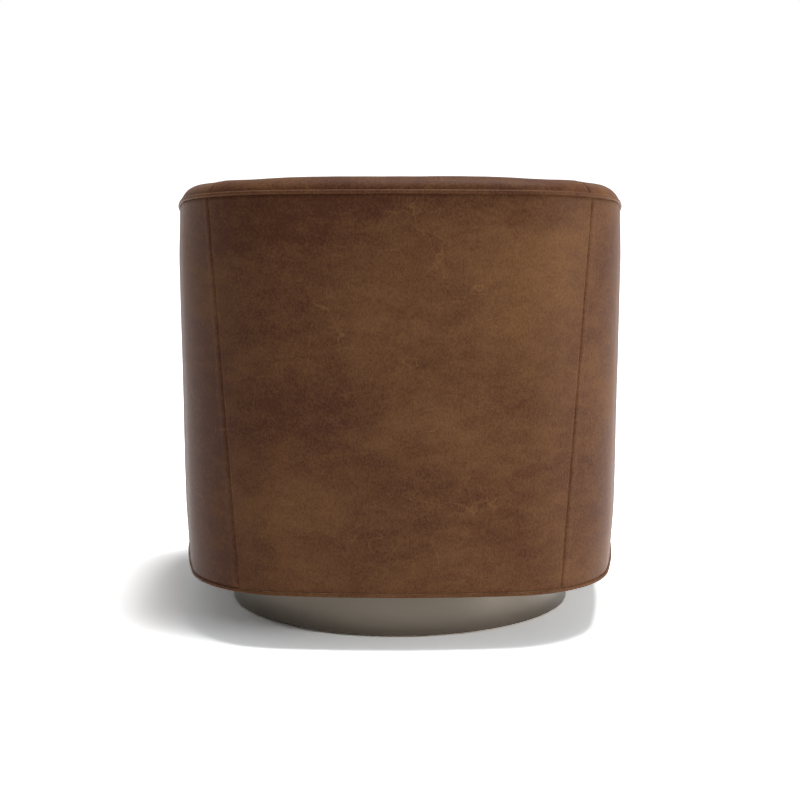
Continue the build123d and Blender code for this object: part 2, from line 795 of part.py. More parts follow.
with BuildPart() as cushion_welts:
    add(cushion_welt(cushion_bottom + 2 * cushion_welt_radius))
    add(cushion_welt(cushion_bottom + cushion_thickness))
finish(cushion_welts.part, "cushion_welts")


# ---- Plinth ------------------------------------------------------------------------------
inner_radius = plinth_radius - skirt_wall
disc_radius = inner_radius - disc_gap
skirt_top = skirt_bottom + skirt_height
lower_disc_top = glide_height + disc_thickness
block_top = lower_disc_top + block_height
screw_length = block_top + disc_thickness * 2 / 3 - glide_height

with BuildPart() as base_skirt:
    with BuildSketch(Plane.XZ):
        with BuildLine():
            Polyline(
                (inner_radius, skirt_bottom),
                (plinth_radius, skirt_bottom),
                (plinth_radius, skirt_top),
                (plinth_radius - skirt_flange, skirt_top),
                (plinth_radius - skirt_flange, skirt_top - skirt_wall),
                (inner_radius, skirt_top - skirt_wall),
                close=True,
            )
        make_face()
    revolve(axis=Axis.Z)
    rim = base_skirt.edges().filter_by(GeomType.CIRCLE).filter_by(lambda e: abs(e.radius - plinth_radius) < 0.01)
    fillet(rim.sort_by(Axis.Z)[-1], skirt_edge)
finish(base_skirt.part, "base_skirt")

screw_places = PolarLocations(block_circle, block_count)
bolt_places = PolarLocations(bolt_circle, 4, start_angle=45)
glide_places = PolarLocations(glide_circle, glide_count, start_angle=-90)


def drill(places, radius, low, high):
    """Through holes cut upright between two heights in the part being made."""
    with BuildSketch(Plane.XY.offset(low)) as holes:
        with places:
            Circle(radius)
    extrude(holes.sketch, amount=high - low, mode=Mode.SUBTRACT)


with BuildPart() as base_lower_disc:
    with BuildSketch(Plane.XY.offset(glide_height)):
        Circle(disc_radius)
        with screw_places:
            Circle(screw_radius + screw_clearance, mode=Mode.SUBTRACT)
        with glide_places:
            Circle(glide_nail_radius + screw_clearance, mode=Mode.SUBTRACT)
    extrude(amount=disc_thickness)
    with BuildSketch(Plane.XY.offset(glide_height)):
        with screw_places:
            Circle(screw_head_radius + screw_clearance)
    extrude(amount=screw_head_height, mode=Mode.SUBTRACT)
finish(base_lower_disc.part, "base_lower_disc")

with BuildPart() as base_blocks:
    with BuildSketch(Plane.XY.offset(lower_disc_top)):
        with screw_places:
            Rectangle(block_size[1], block_size[0])
            Circle(screw_radius + screw_clearance, mode=Mode.SUBTRACT)
    extrude(amount=block_height)
finish(base_blocks.part, "base_blocks")

with BuildPart() as base_top_disc:
    with BuildSketch(Plane.XY.offset(block_top)):
        Circle(disc_radius)
        Circle(pivot_well_radius, mode=Mode.SUBTRACT)
        with bolt_places:
            Circle(bolt_radius + bolt_clearance, mode=Mode.SUBTRACT)
    extrude(amount=disc_thickness)
    with BuildSketch(Plane.XY.offset(block_top)):
        with screw_places:
            Circle(screw_radius + screw_clearance)
    extrude(amount=screw_length + glide_height - block_top, mode=Mode.SUBTRACT)
finish(base_top_disc.part, "base_top_disc")

with BuildPart() as base_screws:
    with BuildSketch(Plane.XY.offset(glide_height)):
        with screw_places:
            Circle(screw_head_radius)
    extrude(amount=screw_head_height - screw_clearance)
    with BuildSketch(Plane.XY.offset(glide_height)):
        with screw_places:
            Circle(screw_radius)
    extrude(amount=screw_length - screw_clearance)
finish(base_screws.part, "base_screws")

with BuildPart() as floor_glides:
    with BuildSketch():
        with glide_places:
            Circle(glide_radius)
    extrude(amount=glide_height)
    fillet(floor_glides.faces().sort_by(Axis.Z)[:glide_count].edges(), glide_edge)
    with BuildSketch(Plane.XY.offset(glide_height / 2)):
        with glide_places:
            Circle(glide_nail_radius + screw_clearance)
    extrude(amount=glide_height, mode=Mode.SUBTRACT)
finish(floor_glides.part, "floor_glides")

with BuildPart() as glide_nails:
    with BuildSketch(Plane.XY.offset(glide_height / 2 + screw_clearance)):
        with glide_places:
            Circle(glide_nail_radius)
    extrude(amount=glide_nail_length)
finish(glide_nails.part, "glide_nails")


# ---- Ball-bearing swivel -------------------------------------------------------------------
def groove(height):
    """The balls' track, cut into the raceway being made."""
    with BuildSketch(Plane.XZ) as track:
        with Locations((race_radius, height)):
            Circle(ball_radius + ball_clearance)
    revolve(track.sketch, axis=Axis.Z, mode=Mode.SUBTRACT)


def swivel_plate(low, race_low, race_high):
    """A round plate with its raceway, bored for the pivot and four bolts."""
    with BuildPart() as plate:
        with BuildSketch(Plane.XY.offset(low)):
            Circle(plate_radius)
        extrude(amount=plate_thickness)
        with BuildSketch(Plane.XY.offset(race_low)):
            Circle(race_radius + race_width / 2)
            Circle(race_radius - race_width / 2, mode=Mode.SUBTRACT)
        extrude(amount=race_high - race_low)
        groove(ball_height)
        with BuildSketch(Plane.XY.offset(low)):
            Circle(pivot_radius + pivot_clearance)
            with bolt_places:
                Circle(bolt_radius + bolt_clearance)
        extrude(amount=plate_thickness, mode=Mode.SUBTRACT)
    return plate.part


lower_plate_top = top_disc_top + plate_thickness
upper_plate_bottom = swivel_top - plate_thickness
finish(swivel_plate(top_disc_top, lower_plate_top, ball_height - race_gap), "swivel_lower_plate")
finish(swivel_plate(upper_plate_bottom, ball_height + race_gap, upper_plate_bottom), "swivel_upper_plate")

ball_places = PolarLocations(race_radius, ball_count)
with BuildPart() as bearing_cage:
    with BuildSketch(Plane.XY.offset(ball_height - cage_thickness / 2)):
        Circle(race_radius + cage_width / 2)
        Circle(race_radius - cage_width / 2, mode=Mode.SUBTRACT)
        with ball_places:
            Circle(ball_radius + ball_clearance, mode=Mode.SUBTRACT)
    extrude(amount=cage_thickness)
finish(bearing_cage.part, "bearing_cage")

with BuildPart() as bearing_balls:
    with Locations((0, 0, ball_height)):
        with PolarLocations(race_radius, ball_count):
            Sphere(ball_radius)
finish(bearing_balls.part, "bearing_balls")


def hexagon_nut(places, low, height, across, bore):
    """Nuts in a ring, or one, sitting on a height."""
    with BuildPart() as nuts:
        with BuildSketch(Plane.XY.offset(low)):
            with places:
                RegularPolygon(across, 6)
                Circle(bore, mode=Mode.SUBTRACT)
        extrude(amount=height)
    return nuts.part


def hexagon_bolt(places, head_low, head_height, across, shank_radius, shank_low, shank_high):
    """Bolts in a ring, or one: a hexagon head and a plain shank."""
    with BuildPart() as bolts:
        with BuildSketch(Plane.XY.offset(head_low)):
            with places:
                RegularPolygon(across, 6)
        extrude(amount=head_height)
        with BuildSketch(Plane.XY.offset(shank_low)):
            with places:
                Circle(shank_radius)
        extrude(amount=shank_high - shank_low)
    return bolts.part


bolt_bore = bolt_radius + bolt_clearance
rail_top = rail_bottom + swivel_rail_height
middle = Locations((0, 0))
base_bolts = hexagon_bolt(
    bolt_places, lower_plate_top, bolt_head_height, bolt_head_radius,
    bolt_radius, block_top - 1.2 * bolt_nut_height, lower_plate_top + 1,
)
finish(base_bolts, "swivel_base_bolts")
finish(hexagon_nut(bolt_places, block_top - bolt_nut_height, bolt_nut_height, bolt_head_radius, bolt_bore), "swivel_base_nuts")
seat_bolts = hexagon_bolt(
    bolt_places, upper_plate_bottom - bolt_head_height, bolt_head_height, bolt_head_radius,
    bolt_radius, upper_plate_bottom - 1, rail_top + 1.2 * bolt_nut_height,
)
finish(seat_bolts, "swivel_seat_bolts")
finish(hexagon_nut(bolt_places, rail_top, bolt_nut_height, bolt_head_radius, bolt_bore), "swivel_seat_nuts")

washer_bottom = swivel_top + pivot_play
head_bottom = washer_bottom + pivot_washer
pivot_bolt = hexagon_bolt(
    middle, head_bottom, pivot_head_height, pivot_head_radius,
    pivot_radius, top_disc_top - 1.2 * pivot_nut_height, head_bottom + 1,
)
finish(pivot_bolt, "swivel_pivot_bolt")
pivot_nut = hexagon_nut(middle, top_disc_top - pivot_nut_height, pivot_nut_height, pivot_head_radius, pivot_radius + pivot_clearance)
finish(pivot_nut, "swivel_pivot_nut")

with BuildPart() as pivot_washer_ring:
    with BuildSketch(Plane.XY.offset(washer_bottom)):
        Circle(pivot_washer_radius)
        Circle(pivot_radius + pivot_clearance, mode=Mode.SUBTRACT)
    extrude(amount=pivot_washer)
finish(pivot_washer_ring.part, "swivel_pivot_washer")

with BuildPart() as swivel_rails:
    with BuildSketch(Plane.XY.offset(rail_bottom)):
        with GridLocations(2 * swivel_rail_offset, 1, 2, 1):
            Rectangle(swivel_rail_width, 2 * back_reach)
    extrude(amount=swivel_rail_height)
    add(form(inner_inset + bottom_rib_reach + fit, rail_bottom - 1, rail_top + 1), mode=Mode.INTERSECT)
    drill(bolt_places, bolt_bore, rail_bottom, rail_top)
finish(swivel_rails.part, "swivel_rails")
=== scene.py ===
"""Swivel barrel chair: leather tub with a loose seat cushion on a round metal plinth.

Metres, +Z up, the swivel axis on the origin, the back towards +Y.
"""

import json
from bisect import bisect_right
from functools import lru_cache
from math import atan2, cos, exp, hypot, pi, radians, sin, sqrt, tan

import bmesh
import bpy
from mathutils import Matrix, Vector, noise
from mathutils.kdtree import KDTree


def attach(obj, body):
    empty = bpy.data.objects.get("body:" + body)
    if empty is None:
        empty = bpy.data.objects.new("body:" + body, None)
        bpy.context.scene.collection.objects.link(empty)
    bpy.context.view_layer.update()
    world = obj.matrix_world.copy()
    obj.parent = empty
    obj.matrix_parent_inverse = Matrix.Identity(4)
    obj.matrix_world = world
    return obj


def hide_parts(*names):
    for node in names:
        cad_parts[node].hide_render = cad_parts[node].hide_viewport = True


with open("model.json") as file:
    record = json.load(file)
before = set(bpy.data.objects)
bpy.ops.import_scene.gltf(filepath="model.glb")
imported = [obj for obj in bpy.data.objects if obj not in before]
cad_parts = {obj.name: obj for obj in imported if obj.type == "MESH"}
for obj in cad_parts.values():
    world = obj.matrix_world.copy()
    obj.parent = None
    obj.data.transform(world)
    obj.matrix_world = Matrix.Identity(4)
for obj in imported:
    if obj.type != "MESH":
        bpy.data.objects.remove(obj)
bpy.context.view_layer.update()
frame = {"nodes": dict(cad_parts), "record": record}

# ---- Sizes of the chair ---------------------------------------------------------
HALF_WIDTH = 0.390
BACK_REACH = 0.390
FRONT_REACH = 0.394
BACK_RADIUS = 1.530
BACK_CORNER_RADIUS = 0.196
SIDE_RADIUS = 1.900
SIDE_CENTRE_Y = -0.137
FRONT_CORNER_RADIUS = 0.150
FRONT_RADIUS = 1.600
FLARE = tan(radians(0.53))
UNDERSIDE = 0.090
WELT_LEVEL = 0.737
SLOPE = radians(7.2)
CROWN_RISE = 0.027
CROWN_RADIUS = 0.028
NOSE_RADIUS = 0.031
WELL_HALF_WIDTH = 0.297
WELL_MARK_Y = -0.300
WELL_BACK = 0.278
WELL_BACK_RADIUS = 1.400
WELL_CORNER_RADIUS = 0.105
TOE = radians(3.5)
RAKE = tan(radians(13.2))
NOSE_WRAP = 0.0408
SEAM_TOP = 0.305
SEAM_BOTTOM = 0.260
CORNER_SEAM = 0.020
TOP_WELT = 0.0035
BOTTOM_WELT = 0.003
LEATHER = 0.002
DECK_LEVEL = 0.2683
HEM = UNDERSIDE + 2 * BOTTOM_WELT + 0.0004
FRONT_RECESS = 0.028
FLAP_LEVEL = 0.2872
PLINTH_RADIUS = 0.300
PLINTH_HEIGHT = 0.075
PLINTH_LIFT = 0.003  # the glides hold it this far over the floor
PLINTH_WALL = 0.0015
PLINTH_LIP = 0.9667  # its upper lip is turned in to this share of the radius
WRAP_SEARCH = 0.02


# ---- Plan of the wall -------------------------------------------------------------
def meeting_arc(first, first_radius, second, second_radius, radius, toward):
    """Centre of an arc of this radius that runs smoothly into two larger arcs."""
    a, b = first_radius - radius, second_radius - radius
    dx, dy = second[0] - first[0], second[1] - first[1]
    apart = hypot(dx, dy)
    along = (a * a - b * b + apart * apart) / (2 * apart)
    across = sqrt(a * a - along * along)
    foot = (first[0] + dx * along / apart, first[1] + dy * along / apart)
    step = (-dy * across / apart, dx * across / apart)
    choices = [(foot[0] + s * step[0], foot[1] + s * step[1]) for s in (1, -1)]
    return max(choices, key=lambda p: p[0] * toward[0] + p[1] * toward[1])


def turn_to(centre, point):
    return atan2(point[1] - centre[1], point[0] - centre[0])


BACK_CENTRE = (0, BACK_REACH - BACK_RADIUS)
SIDE_CENTRE = (HALF_WIDTH - SIDE_RADIUS, SIDE_CENTRE_Y)
FRONT_CENTRE = (0, FRONT_RADIUS - FRONT_REACH)
BACK_CORNER = meeting_arc(BACK_CENTRE, BACK_RADIUS, SIDE_CENTRE, SIDE_RADIUS, BACK_CORNER_RADIUS, (1, 1))
FRONT_CORNER = meeting_arc(FRONT_CENTRE, FRONT_RADIUS, SIDE_CENTRE, SIDE_RADIUS, FRONT_CORNER_RADIUS, (1, -1))
BACK_TURN = turn_to(BACK_CENTRE, BACK_CORNER)
SIDE_TURN_BACK = turn_to(SIDE_CENTRE, BACK_CORNER)
SIDE_TURN_FRONT = turn_to(SIDE_CENTRE, FRONT_CORNER)
FRONT_TURN = turn_to(FRONT_CENTRE, FRONT_CORNER)

ARM_OUT = (cos(TOE), sin(TOE))
ARM_RUN = (-sin(TOE), cos(TOE))


def beside_arm(reach, centre, apart, way):
    """Place on a line along the arm that is this far apart from a centre, behind it (1) or before it (-1)."""
    foot = (ARM_OUT[0] * reach - centre[0], ARM_OUT[1] * reach - centre[1])
    half = foot[0] * ARM_RUN[0] + foot[1] * ARM_RUN[1]
    travel = way * sqrt(half * half - foot[0] ** 2 - foot[1] ** 2 + apart * apart) - half
    return (ARM_OUT[0] * reach + ARM_RUN[0] * travel, ARM_OUT[1] * reach + ARM_RUN[1] * travel)


WELL_CENTRE = (0, WELL_BACK - WELL_BACK_RADIUS)
WELL_CORNER = beside_arm(
    WELL_HALF_WIDTH * ARM_OUT[0] + WELL_MARK_Y * ARM_OUT[1] - WELL_CORNER_RADIUS,
    WELL_CENTRE, WELL_BACK_RADIUS - WELL_CORNER_RADIUS, 1,
)
WELL_TURN = turn_to(WELL_CENTRE, WELL_CORNER)


class Arc:
    """An arc of the plan. Its outward side is away from the centre, or towards it."""

    def __init__(self, centre, radius, start, end, hollow=False):
        self.centre, self.radius, self.start, self.end = centre, radius, start, end
        self.hollow = hollow
        self.length = radius * abs(end - start)

    def at(self, share, inset):
        turn = self.start + (self.end - self.start) * share
        way = (cos(turn), sin(turn))
        reach = self.radius + (inset if self.hollow else -inset)
        place = (self.centre[0] + reach * way[0], self.centre[1] + reach * way[1])
        return place, ((-way[0], -way[1]) if self.hollow else way)


class Straight:
    """The straight inner face of an arm."""

    def __init__(self, start, end):
        self.start, self.end = start, end
        self.length = hypot(end[0] - start[0], end[1] - start[1])

    def at(self, share, inset):
        place = (
            self.start[0] + (self.end[0] - self.start[0]) * share + inset * ARM_OUT[0],
            self.start[1] + (self.end[1] - self.start[1]) * share + inset * ARM_OUT[1],
        )
        return place, (-ARM_OUT[0], -ARM_OUT[1])


class WallPlan:
    """The wall's plan at a height, from mid back round the nose to the inner back."""

    def __init__(self, height):
        lean = (WELT_LEVEL - height) * FLARE
        shift = (height - WELT_LEVEL) * RAKE
        corner = (WELL_CORNER[0], WELL_CORNER[1] + shift)
        centre = (0, WELL_CENTRE[1] + shift)
        arm_end = (
            corner[0] + WELL_CORNER_RADIUS * ARM_OUT[0],
            corner[1] + WELL_CORNER_RADIUS * ARM_OUT[1],
        )
        reach = arm_end[0] * ARM_OUT[0] + arm_end[1] * ARM_OUT[1] + NOSE_RADIUS
        nose = beside_arm(reach, FRONT_CORNER, FRONT_CORNER_RADIUS - lean - NOSE_RADIUS, -1)
        nose_turn = turn_to(FRONT_CORNER, nose)
        arm_start = (nose[0] - NOSE_RADIUS * ARM_OUT[0], nose[1] - NOSE_RADIUS * ARM_OUT[1])
        self.front_radius = FRONT_CORNER_RADIUS - lean
        self.pieces = [
            Arc(BACK_CENTRE, BACK_RADIUS - lean, pi / 2, BACK_TURN),
            Arc(BACK_CORNER, BACK_CORNER_RADIUS - lean, BACK_TURN, SIDE_TURN_BACK),
            Arc(SIDE_CENTRE, SIDE_RADIUS - lean, SIDE_TURN_BACK, SIDE_TURN_FRONT),
            Arc(FRONT_CORNER, self.front_radius, SIDE_TURN_FRONT, nose_turn),
            Arc(nose, NOSE_RADIUS, nose_turn, TOE - pi),
            Straight(arm_start, arm_end),
            Arc(corner, WELL_CORNER_RADIUS, TOE, WELL_TURN, hollow=True),
            Arc(centre, WELL_BACK_RADIUS, WELL_TURN, pi / 2, hollow=True),
        ]
        self.starts = [0.0]
        for piece in self.pieces:
            self.starts.append(self.starts[-1] + piece.length)

    def at(self, distance, inset=0.0):
        """Place and outward direction this far along the plan, drawn in by inset."""
        number = min(max(bisect_right(self.starts, distance) - 1, 0), len(self.pieces) - 1)
        piece = self.pieces[number]
        return piece.at((distance - self.starts[number]) / piece.length, inset)

    def lean(self, distance, normal):
        """How far the wall stands out for each metre down, along its outward side."""
        if distance < self.starts[4]:
            return -FLARE
        return 0.0 if distance < self.starts[5] else -RAKE * normal[1]

    def find(self, low, high, test):
        """Distance at which test of the place changes its sign."""
        sign = test(self.at(low)[0]) > 0
        for _ in range(34):
            middle = (low + high) / 2
            if (test(self.at(middle)[0]) > 0) == sign:
                low = middle
            else:
                high = middle
        return (low + high) / 2


def seam_half_width(height):
    lean = (SEAM_TOP - SEAM_BOTTOM) / (WELT_LEVEL - UNDERSIDE)
    return SEAM_TOP - (WELT_LEVEL - height) * lean


def find_marks(height):
    """Distances along the plan of its seams, nose and end, at a height."""
    plan = WallPlan(height)
    nose_start, nose_end = plan.starts[4], plan.starts[5]
    tip = (nose_start + nose_end) / 2
    seam = seam_half_width(height)
    cut = plan.front_radius - NOSE_WRAP
    return {
        "seam": plan.find(0, plan.starts[3], lambda p: p[0] - seam),
        "corner": plan.find(0, plan.starts[3], lambda p: p[0] - p[1] + CORNER_SEAM),
        "tip": tip,
        "wrap": plan.find(
            tip, nose_end + WRAP_SEARCH,
            lambda p: hypot(p[0] - FRONT_CORNER[0], p[1] - FRONT_CORNER[1]) - cut,
        ),
        "inner_corner": plan.find(nose_end, plan.starts[8], lambda p: p[0] - p[1] + CORNER_SEAM),
        "end": plan.starts[8],
    }


MARK_STEP = 0.04
MARK_COUNT = 18
MARKS = [find_marks(UNDERSIDE + MARK_STEP * number) for number in range(MARK_COUNT)]


def mark(name, height):
    """A seam's distance along the plan at any height."""
    place = min(max((height - UNDERSIDE) / MARK_STEP, 0), len(MARKS) - 1.001)
    low = int(place)
    return MARKS[low][name] + (MARKS[low + 1][name] - MARKS[low][name]) * (place - low)


def rim_height(y, rise):
    """Height of the plane that lies this far over the sloping welt line."""
    return WELT_LEVEL + (y - BACK_REACH) * tan(SLOPE) + rise / cos(SLOPE)


# ---- Making meshes ----------------------------------------------------------------
def select_only(thing):
    bpy.ops.object.select_all(action="DESELECT")
    thing.select_set(True)
    bpy.context.view_layer.objects.active = thing


def apply_all(thing):
    """Applies every modifier of a piece, top to bottom."""
    select_only(thing)
    for modifier in list(thing.modifiers):
        bpy.ops.object.modifier_apply(modifier=modifier.name)


def smooth(thing, angle=40):
    select_only(thing)
    bpy.ops.object.shade_smooth_by_angle(angle=radians(angle))


def spread(low, high, step, fine=(), both=True):
    """Shares from 0 to 1 along a run, with fine steps next to its ends."""
    length = high - low
    near = [f for f in fine if f < length / 2]
    first = near[-1] if near else 0.0
    last = first if both else 0.0
    count = max(2, round((length - first - last) / step))
    middle = [first + (length - first - last) * k / count for k in range(count + 1)]
    places = near[:-1] + middle
    if both:
        places += [length - f for f in reversed(near[:-1])]
    return [p / length for p in places]


def sheet_mesh(name, columns, rows, place, outward=1, puff=None):
    """A skin on a grid: place gives each vertex, and puff moves it along its normal."""
    bpy.ops.object.select_all(action="DESELECT")
    bpy.ops.mesh.primitive_grid_add(x_subdivisions=len(columns) - 1, y_subdivisions=len(rows) - 1, size=1)
    skin = bpy.context.active_object
    skin.name = skin.data.name = name
    vertices = skin.data.vertices
    number = 0
    spots = []
    for row in rows:
        for column in columns:
            vertices[number].co = place(column, row)
            spots.append((column, row))
            number += 1
    if outward < 0:
        skin.data.flip_normals()
    skin.data.update()
    if puff is not None:
        normals = [v.normal.copy() for v in vertices]
        for v, normal, (column, row) in zip(vertices, normals, spots):
            v.co += normal * puff(column, row, v.co)
        skin.data.update()
    return skin


def thicken(skin, thickness=LEATHER):
    """Gives a skin its thickness, inwards."""
    solid = skin.modifiers.new("thickness", "SOLIDIFY")
    solid.thickness = thickness
    solid.offset = -1
    apply_all(skin)


def tube(name, points, radius, sides=12, closed=False, swell=None):
    """A round welt along a line of points."""
    curve = bpy.data.curves.new(name, "CURVE")
    curve.dimensions = "3D"
    curve.twist_mode = "Z_UP"
    line = curve.splines.new("POLY")
    line.points.add(len(points) - 1)
    for number, (point, place) in enumerate(zip(line.points, points)):
        point.co = (*place, 1)
        point.radius = swell(number) if swell else 1
    line.use_cyclic_u = closed
    curve.bevel_depth = radius
    curve.bevel_resolution = sides // 4
    curve.use_fill_caps = not closed
    cord = bpy.data.objects.new(name, curve)
    bpy.context.scene.collection.objects.link(cord)
    select_only(cord)
    bpy.ops.object.convert(target="MESH")
    cord = bpy.context.active_object
    smooth(cord, 60)
    return cord


def wrinkle(co, scale, seed):
    """Soft unevenness from -1 to 1, the same every time."""
    return noise.noise(Vector((co[0] * scale + seed, co[1] * scale - seed, co[2] * scale)))


def ease(value):
    value = min(max(value, 0.0), 1.0)
    return value * value * (3 - 2 * value)


def add_node(tree, kind, values=None, **settings):
    """A new shader node with its settings, and then its sockets' values."""
    node = tree.nodes.new(kind)
    for name, value in settings.items():
        setattr(node, name, value)
    for socket, value in (values or {}).items():
        node.inputs[socket].default_value = value
    return node


# ---- Camera, floor and light ------------------------------------------------------
CAMERA_PLACE = (0, 3.1777, 0.8483)
CAMERA_DOWN = 8.899  # degrees under the level
camera_data = bpy.data.cameras.new("camera")
camera_data.lens = 81.0
camera_data.sensor_width = 36.0
camera_data.clip_end = 100.0
camera = bpy.data.objects.new("camera", camera_data)
camera.location = CAMERA_PLACE
camera.rotation_euler = (radians(90 - CAMERA_DOWN), 0, pi)
bpy.context.scene.collection.objects.link(camera)
bpy.context.scene.camera = camera
bpy.context.scene.view_settings.view_transform = "Standard"


def lamp(name, place, target, size, power, colour=(1, 1, 1)):
    light = bpy.data.lights.new(name, "AREA")
    light.shape = "RECTANGLE"
    light.size, light.size_y = size
    light.energy = power
    light.color = colour
    thing = bpy.data.objects.new(name, light)
    thing.location = place
    thing.rotation_euler = (Vector(target) - Vector(place)).to_track_quat("-Z", "Y").to_euler()
    bpy.context.scene.collection.objects.link(thing)


def seen_directly(tree):
    """1 where the camera sees a surface directly, in a reflection or through glass."""
    path = add_node(tree, "ShaderNodeLightPath")
    first = add_node(tree, "ShaderNodeMath", operation="MAXIMUM")
    tree.links.new(path.outputs["Is Camera Ray"], first.inputs[0])
    tree.links.new(path.outputs["Is Glossy Ray"], first.inputs[1])
    second = add_node(tree, "ShaderNodeMath", operation="MAXIMUM")
    tree.links.new(first.outputs[0], second.inputs[0])
    tree.links.new(path.outputs["Is Transmission Ray"], second.inputs[1])
    return second.outputs[0]


WORLD_LIGHT = 0.22
FLOOR_SIZE = 60
FLOOR_COLOUR = 0.80
FLOOR_SEEN = (2.50, 2.53, 2.54)  # the floor where it is seen directly, to bring it up to white
FLOOR_FAR = {"From Min": 3.0, "From Max": 9.0, "To Min": 1.0, "To Max": 2.3}  # brighter where the lamps fade

world = bpy.data.worlds.new("studio")
bpy.context.scene.world = world
world.use_nodes = True
sky = world.node_tree
sky.nodes.clear()
world_output = add_node(sky, "ShaderNodeOutputWorld")
world_shade = add_node(sky, "ShaderNodeBackground", {"Color": (1, 1, 1, 1)})
world_strength = add_node(sky, "ShaderNodeMapRange", {"To Min": WORLD_LIGHT, "To Max": 1.0})
sky.links.new(seen_directly(sky), world_strength.inputs["Value"])
sky.links.new(world_strength.outputs[0], world_shade.inputs["Strength"])
sky.links.new(world_shade.outputs[0], world_output.inputs["Surface"])

lamp("overhead", (-1.08, 0.15, 6.0), (0, 0, 0.3), (3.0, 2.4), 332)
lamp("right_side", (-3.0, 1.6, 0.75), (0, 0.2, 0.45), (1.0, 1.0), 49)

bpy.ops.object.select_all(action="DESELECT")
bpy.ops.mesh.primitive_plane_add(size=FLOOR_SIZE, location=(0, 0, 0))
floor = bpy.context.active_object
floor.name = "floor"
floor_material = bpy.data.materials.new("studio_floor")
floor_material.use_nodes = True
ground = floor_material.node_tree
ground.nodes.clear()
floor_output = add_node(ground, "ShaderNodeOutputMaterial")
floor_shade = add_node(ground, "ShaderNodeBsdfDiffuse")
floor_where = add_node(ground, "ShaderNodeTexCoord")
floor_reach = add_node(ground, "ShaderNodeVectorMath", operation="LENGTH")
ground.links.new(floor_where.outputs["Object"], floor_reach.inputs[0])
floor_far = add_node(ground, "ShaderNodeMapRange", FLOOR_FAR, interpolation_type="SMOOTHSTEP")
ground.links.new(floor_reach.outputs["Value"], floor_far.inputs["Value"])
floor_bright = add_node(ground, "ShaderNodeVectorMath", {0: FLOOR_SEEN}, operation="SCALE")
ground.links.new(floor_far.outputs[0], floor_bright.inputs["Scale"])
floor_grey = (FLOOR_COLOUR, FLOOR_COLOUR, FLOOR_COLOUR, 1)
floor_mix = add_node(ground, "ShaderNodeMix", {6: floor_grey}, data_type="RGBA")
ground.links.new(seen_directly(ground), floor_mix.inputs[0])
ground.links.new(floor_bright.outputs[0], floor_mix.inputs[7])
ground.links.new(floor_mix.outputs[2], floor_shade.inputs["Color"])
ground.links.new(floor_shade.outputs[0], floor_output.inputs["Surface"])
floor.data.materials.append(floor_material)


# ---- Materials ----------------------------------------------------------------------
def new_group(name, inputs, outputs):
    """An empty node group with named inputs (name, kind, default) and outputs."""
    group = bpy.data.node_groups.new(name, "ShaderNodeTree")
    for label, kind, value in inputs:
        socket = group.interface.new_socket(name=label, in_out="INPUT", socket_type=kind)
        if value is not None:
            socket.default_value = value
    for label, kind in outputs:
        group.interface.new_socket(name=label, in_out="OUTPUT", socket_type=kind)
    start = group.nodes.new("NodeGroupInput")
    end = group.nodes.new("NodeGroupOutput")
    return group, start, end


def noise_node(group, vector, scale, detail=4.0, roughness=0.55, distortion=0.0):
    values = {"Scale": scale, "Detail": detail, "Roughness": roughness, "Distortion": distortion}
    node = add_node(group, "ShaderNodeTexNoise", values)
    group.links.new(vector, node.inputs["Vector"])
    return node.outputs["Fac"]


def remap(group, value, low, high, to_low=0.0, to_high=1.0, smooth_step=True):
    values = {"From Min": low, "From Max": high, "To Min": to_low, "To Max": to_high}
    shape = "SMOOTHSTEP" if smooth_step else "LINEAR"
    node = add_node(group, "ShaderNodeMapRange", values, interpolation_type=shape)
    group.links.new(value, node.inputs["Value"])
    return node.outputs["Result"]


def stretched(group, vector, scale):
    """The coordinates drawn out or squeezed along each axis."""
    mapping = add_node(group, "ShaderNodeMapping", {"Scale": scale})
    group.links.new(vector, mapping.inputs["Vector"])
    return mapping.outputs[0]


def feed(group, socket, value):
    """Gives a socket a plain value, or a link from another node."""
    if isinstance(value, (int, float, tuple)):
        socket.default_value = value
    else:
        group.links.new(value, socket)


def blend_colours(group, share, first, second):
    node = add_node(group, "ShaderNodeMix", data_type="RGBA")
    for number, value in ((0, share), (6, first), (7, second)):
        feed(group, node.inputs[number], value)
    return node.outputs[2]


def maths(group, operation, first, second):
    node = add_node(group, "ShaderNodeMath", operation=operation)
    feed(group, node.inputs[0], first)
    feed(group, node.inputs[1], second)
    return node.outputs[0]


